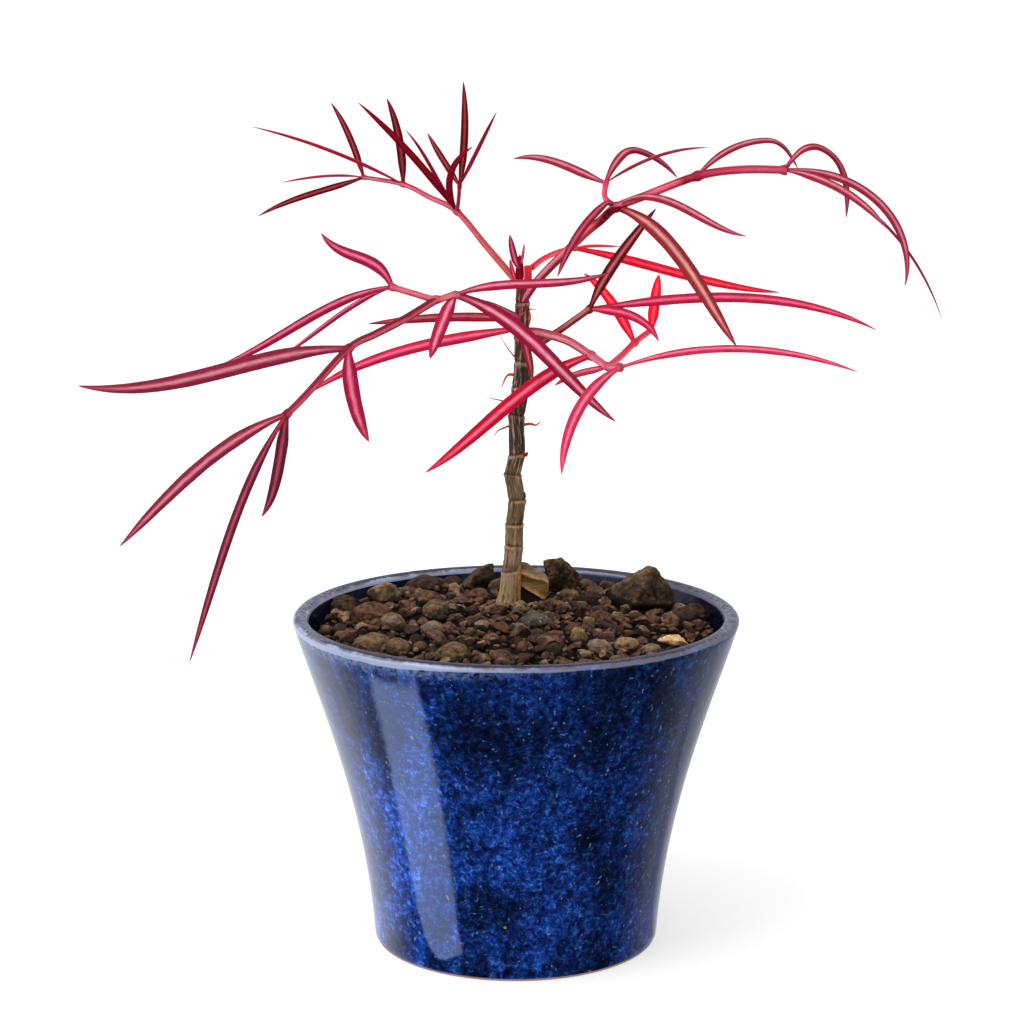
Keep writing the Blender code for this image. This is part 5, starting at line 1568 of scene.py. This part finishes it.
# Cards that lie by the pot and show only as bands in its glaze: light, colour, corners on floor
CARDS = (
    (4.8, (186, 206, 255), ((-24, -33), (-65, -28), (-86, -25), (-132, -30), (-94, -82), (-58, -64),
                            (-38, -53), (-20, -41))),
    (0.6, (204, 208, 240), ((38, -14), (91, 35), (138, 45), (146, 58), (84, 52), (36, -6))),
)


def stage_object(name, mesh, material, mirrored=False):
    """A part of the studio that casts no shadow: one that lights and is seen, or only mirrored."""
    obj = linked(name, mesh)
    mesh.materials.append(material)
    obj.visible_camera = not mirrored
    obj.visible_diffuse = not mirrored
    obj.visible_glossy = mirrored
    obj.visible_transmission = False
    obj.visible_shadow = False


def glow(name, strength, colour=WHITE, turn=None):
    """A plain light, or one that goes from low to high towards a direction."""
    material = bpy.data.materials.new(name)
    material.use_nodes = True
    tree = material.node_tree
    tree.nodes.clear()
    if turn is not None:
        place = add_node(tree, "TexCoord").outputs["Generated"]
        centred = add_node(tree, "VectorMath", {0: place, 1: DOME_MIDDLE}, operation='SUBTRACT')
        side = dot_with(tree, centred.outputs["Vector"], turn)
        strength = ranged(tree, side, DOME_REACH, strength)
    light = add_node(tree, "Emission", {"Color": colour, "Strength": strength})
    add_node(tree, "OutputMaterial", {"Surface": light.outputs[0]})
    return material


def dot_with(tree, source, direction):
    toward = add_node(tree, "VectorMath", {0: source, 1: Vector(direction).normalized()},
                      operation='DOT_PRODUCT')
    return toward.outputs["Value"]


def ranged(tree, source, reach, span):
    """The source's reach mapped to a span, held at both ends."""
    made = add_node(tree, "MapRange", {"Value": source, "From Min": reach[0], "From Max": reach[1],
                                       "To Min": span[0], "To Max": span[1]})
    return made.outputs["Result"]


def flat_mesh(name, corners, level):
    mesh = bpy.data.meshes.new(name)
    mesh.from_pydata([(x * MM, y * MM, level * MM) for x, y in corners], [], [range(len(corners))])
    return mesh


def build_stage():
    """A white floor and a white dome, which gives the even light, and the cards."""
    floor = Finish("studio_floor", FLOOR_FINISH)
    disc = [point[:2] for point in circle(FLOOR_RADIUS, 0, FLOOR_SIDES)]
    stage_object("floor", flat_mesh("floor", disc, 0), floor.material)
    points, faces = ball(SMOOTH_BALL)
    dome = bpy.data.meshes.new("backdrop")
    dome.from_pydata((points * DOME_RADIUS * MM).tolist(), [], faces)
    white = glow("backdrop", ROOM_LIGHT, turn=SUN_FROM)
    white.cycles.emission_sampling = 'NONE'
    stage_object("backdrop", dome, white)
    for number, (strength, colour, corners) in enumerate(CARDS):
        name = f"card_{number}"
        light = glow(name, strength, tint(*colour))
        stage_object(name, flat_mesh(name, corners, CARD_LEVEL), light, mirrored=True)


def build_lamp():
    """One wide lamp from the upper left."""
    lamp = bpy.data.lights.new("lamp", 'SUN')
    lamp.energy = SUN_STRENGTH
    lamp.angle = math.radians(SUN_SPREAD)
    linked("lamp", lamp).rotation_euler = Vector(SUN_FROM).to_track_quat('Z', 'Y').to_euler()


def build_mirror_room():
    """The room that shiny surfaces mirror."""
    world = bpy.data.worlds.new("studio")
    world.use_nodes = True
    world.cycles_visibility.diffuse = False
    world.cycles_visibility.camera = False
    bpy.context.scene.world = world
    tree = world.node_tree
    direction = add_node(tree, "TexCoord").outputs["Generated"]
    parts = add_node(tree, "SeparateXYZ", {0: direction}).outputs
    above = ranged(tree, dot_with(tree, direction, SUN_FROM), MIRROR_TURN, MIRROR_ROOM)
    back = ranged(tree, parts["X"], MIRROR_ACROSS, MIRROR_BACK)
    behind = ranged(tree, parts["Y"], MIRROR_BEHIND, (0.0, 1.0))
    below = add_node(tree, "Mix", {0: behind, 2: MIRROR_FRONT, 3: back}, data_type='FLOAT')
    level = ranged(tree, parts["Z"], MIRROR_HORIZON, (0.0, 1.0))
    strength = add_node(tree, "Mix", {0: level, 2: below.outputs[0], 3: above}, data_type='FLOAT')
    background = tree.nodes["Background"].inputs
    feed(tree, background["Strength"], strength.outputs[0])
    feed(tree, background["Color"], MIRROR_TONE)


def build_camera():
    camera = bpy.data.cameras.new("camera")
    camera.lens = CAMERA_LENS
    camera.sensor_width = CAMERA_SENSOR
    camera.clip_start, camera.clip_end = CAMERA_CLIP
    holder = linked("camera", camera)
    holder.location = Vector(CAMERA_PLACE) * MM
    holder.rotation_euler = (math.radians(90 - CAMERA_PITCH), 0, 0)
    bpy.context.scene.camera = holder


def main():
    bpy.context.scene.view_settings.view_transform = 'Standard'
    build_camera()
    build_lamp()
    build_mirror_room()
    build_stage()
    build_pot()
    dress_soil()
    build_gravel()
    build_rocks()
    build_stem()
    build_horns()
    build_bud()
    build_husk()
    build_stalks()
    build_leaflets()


main()
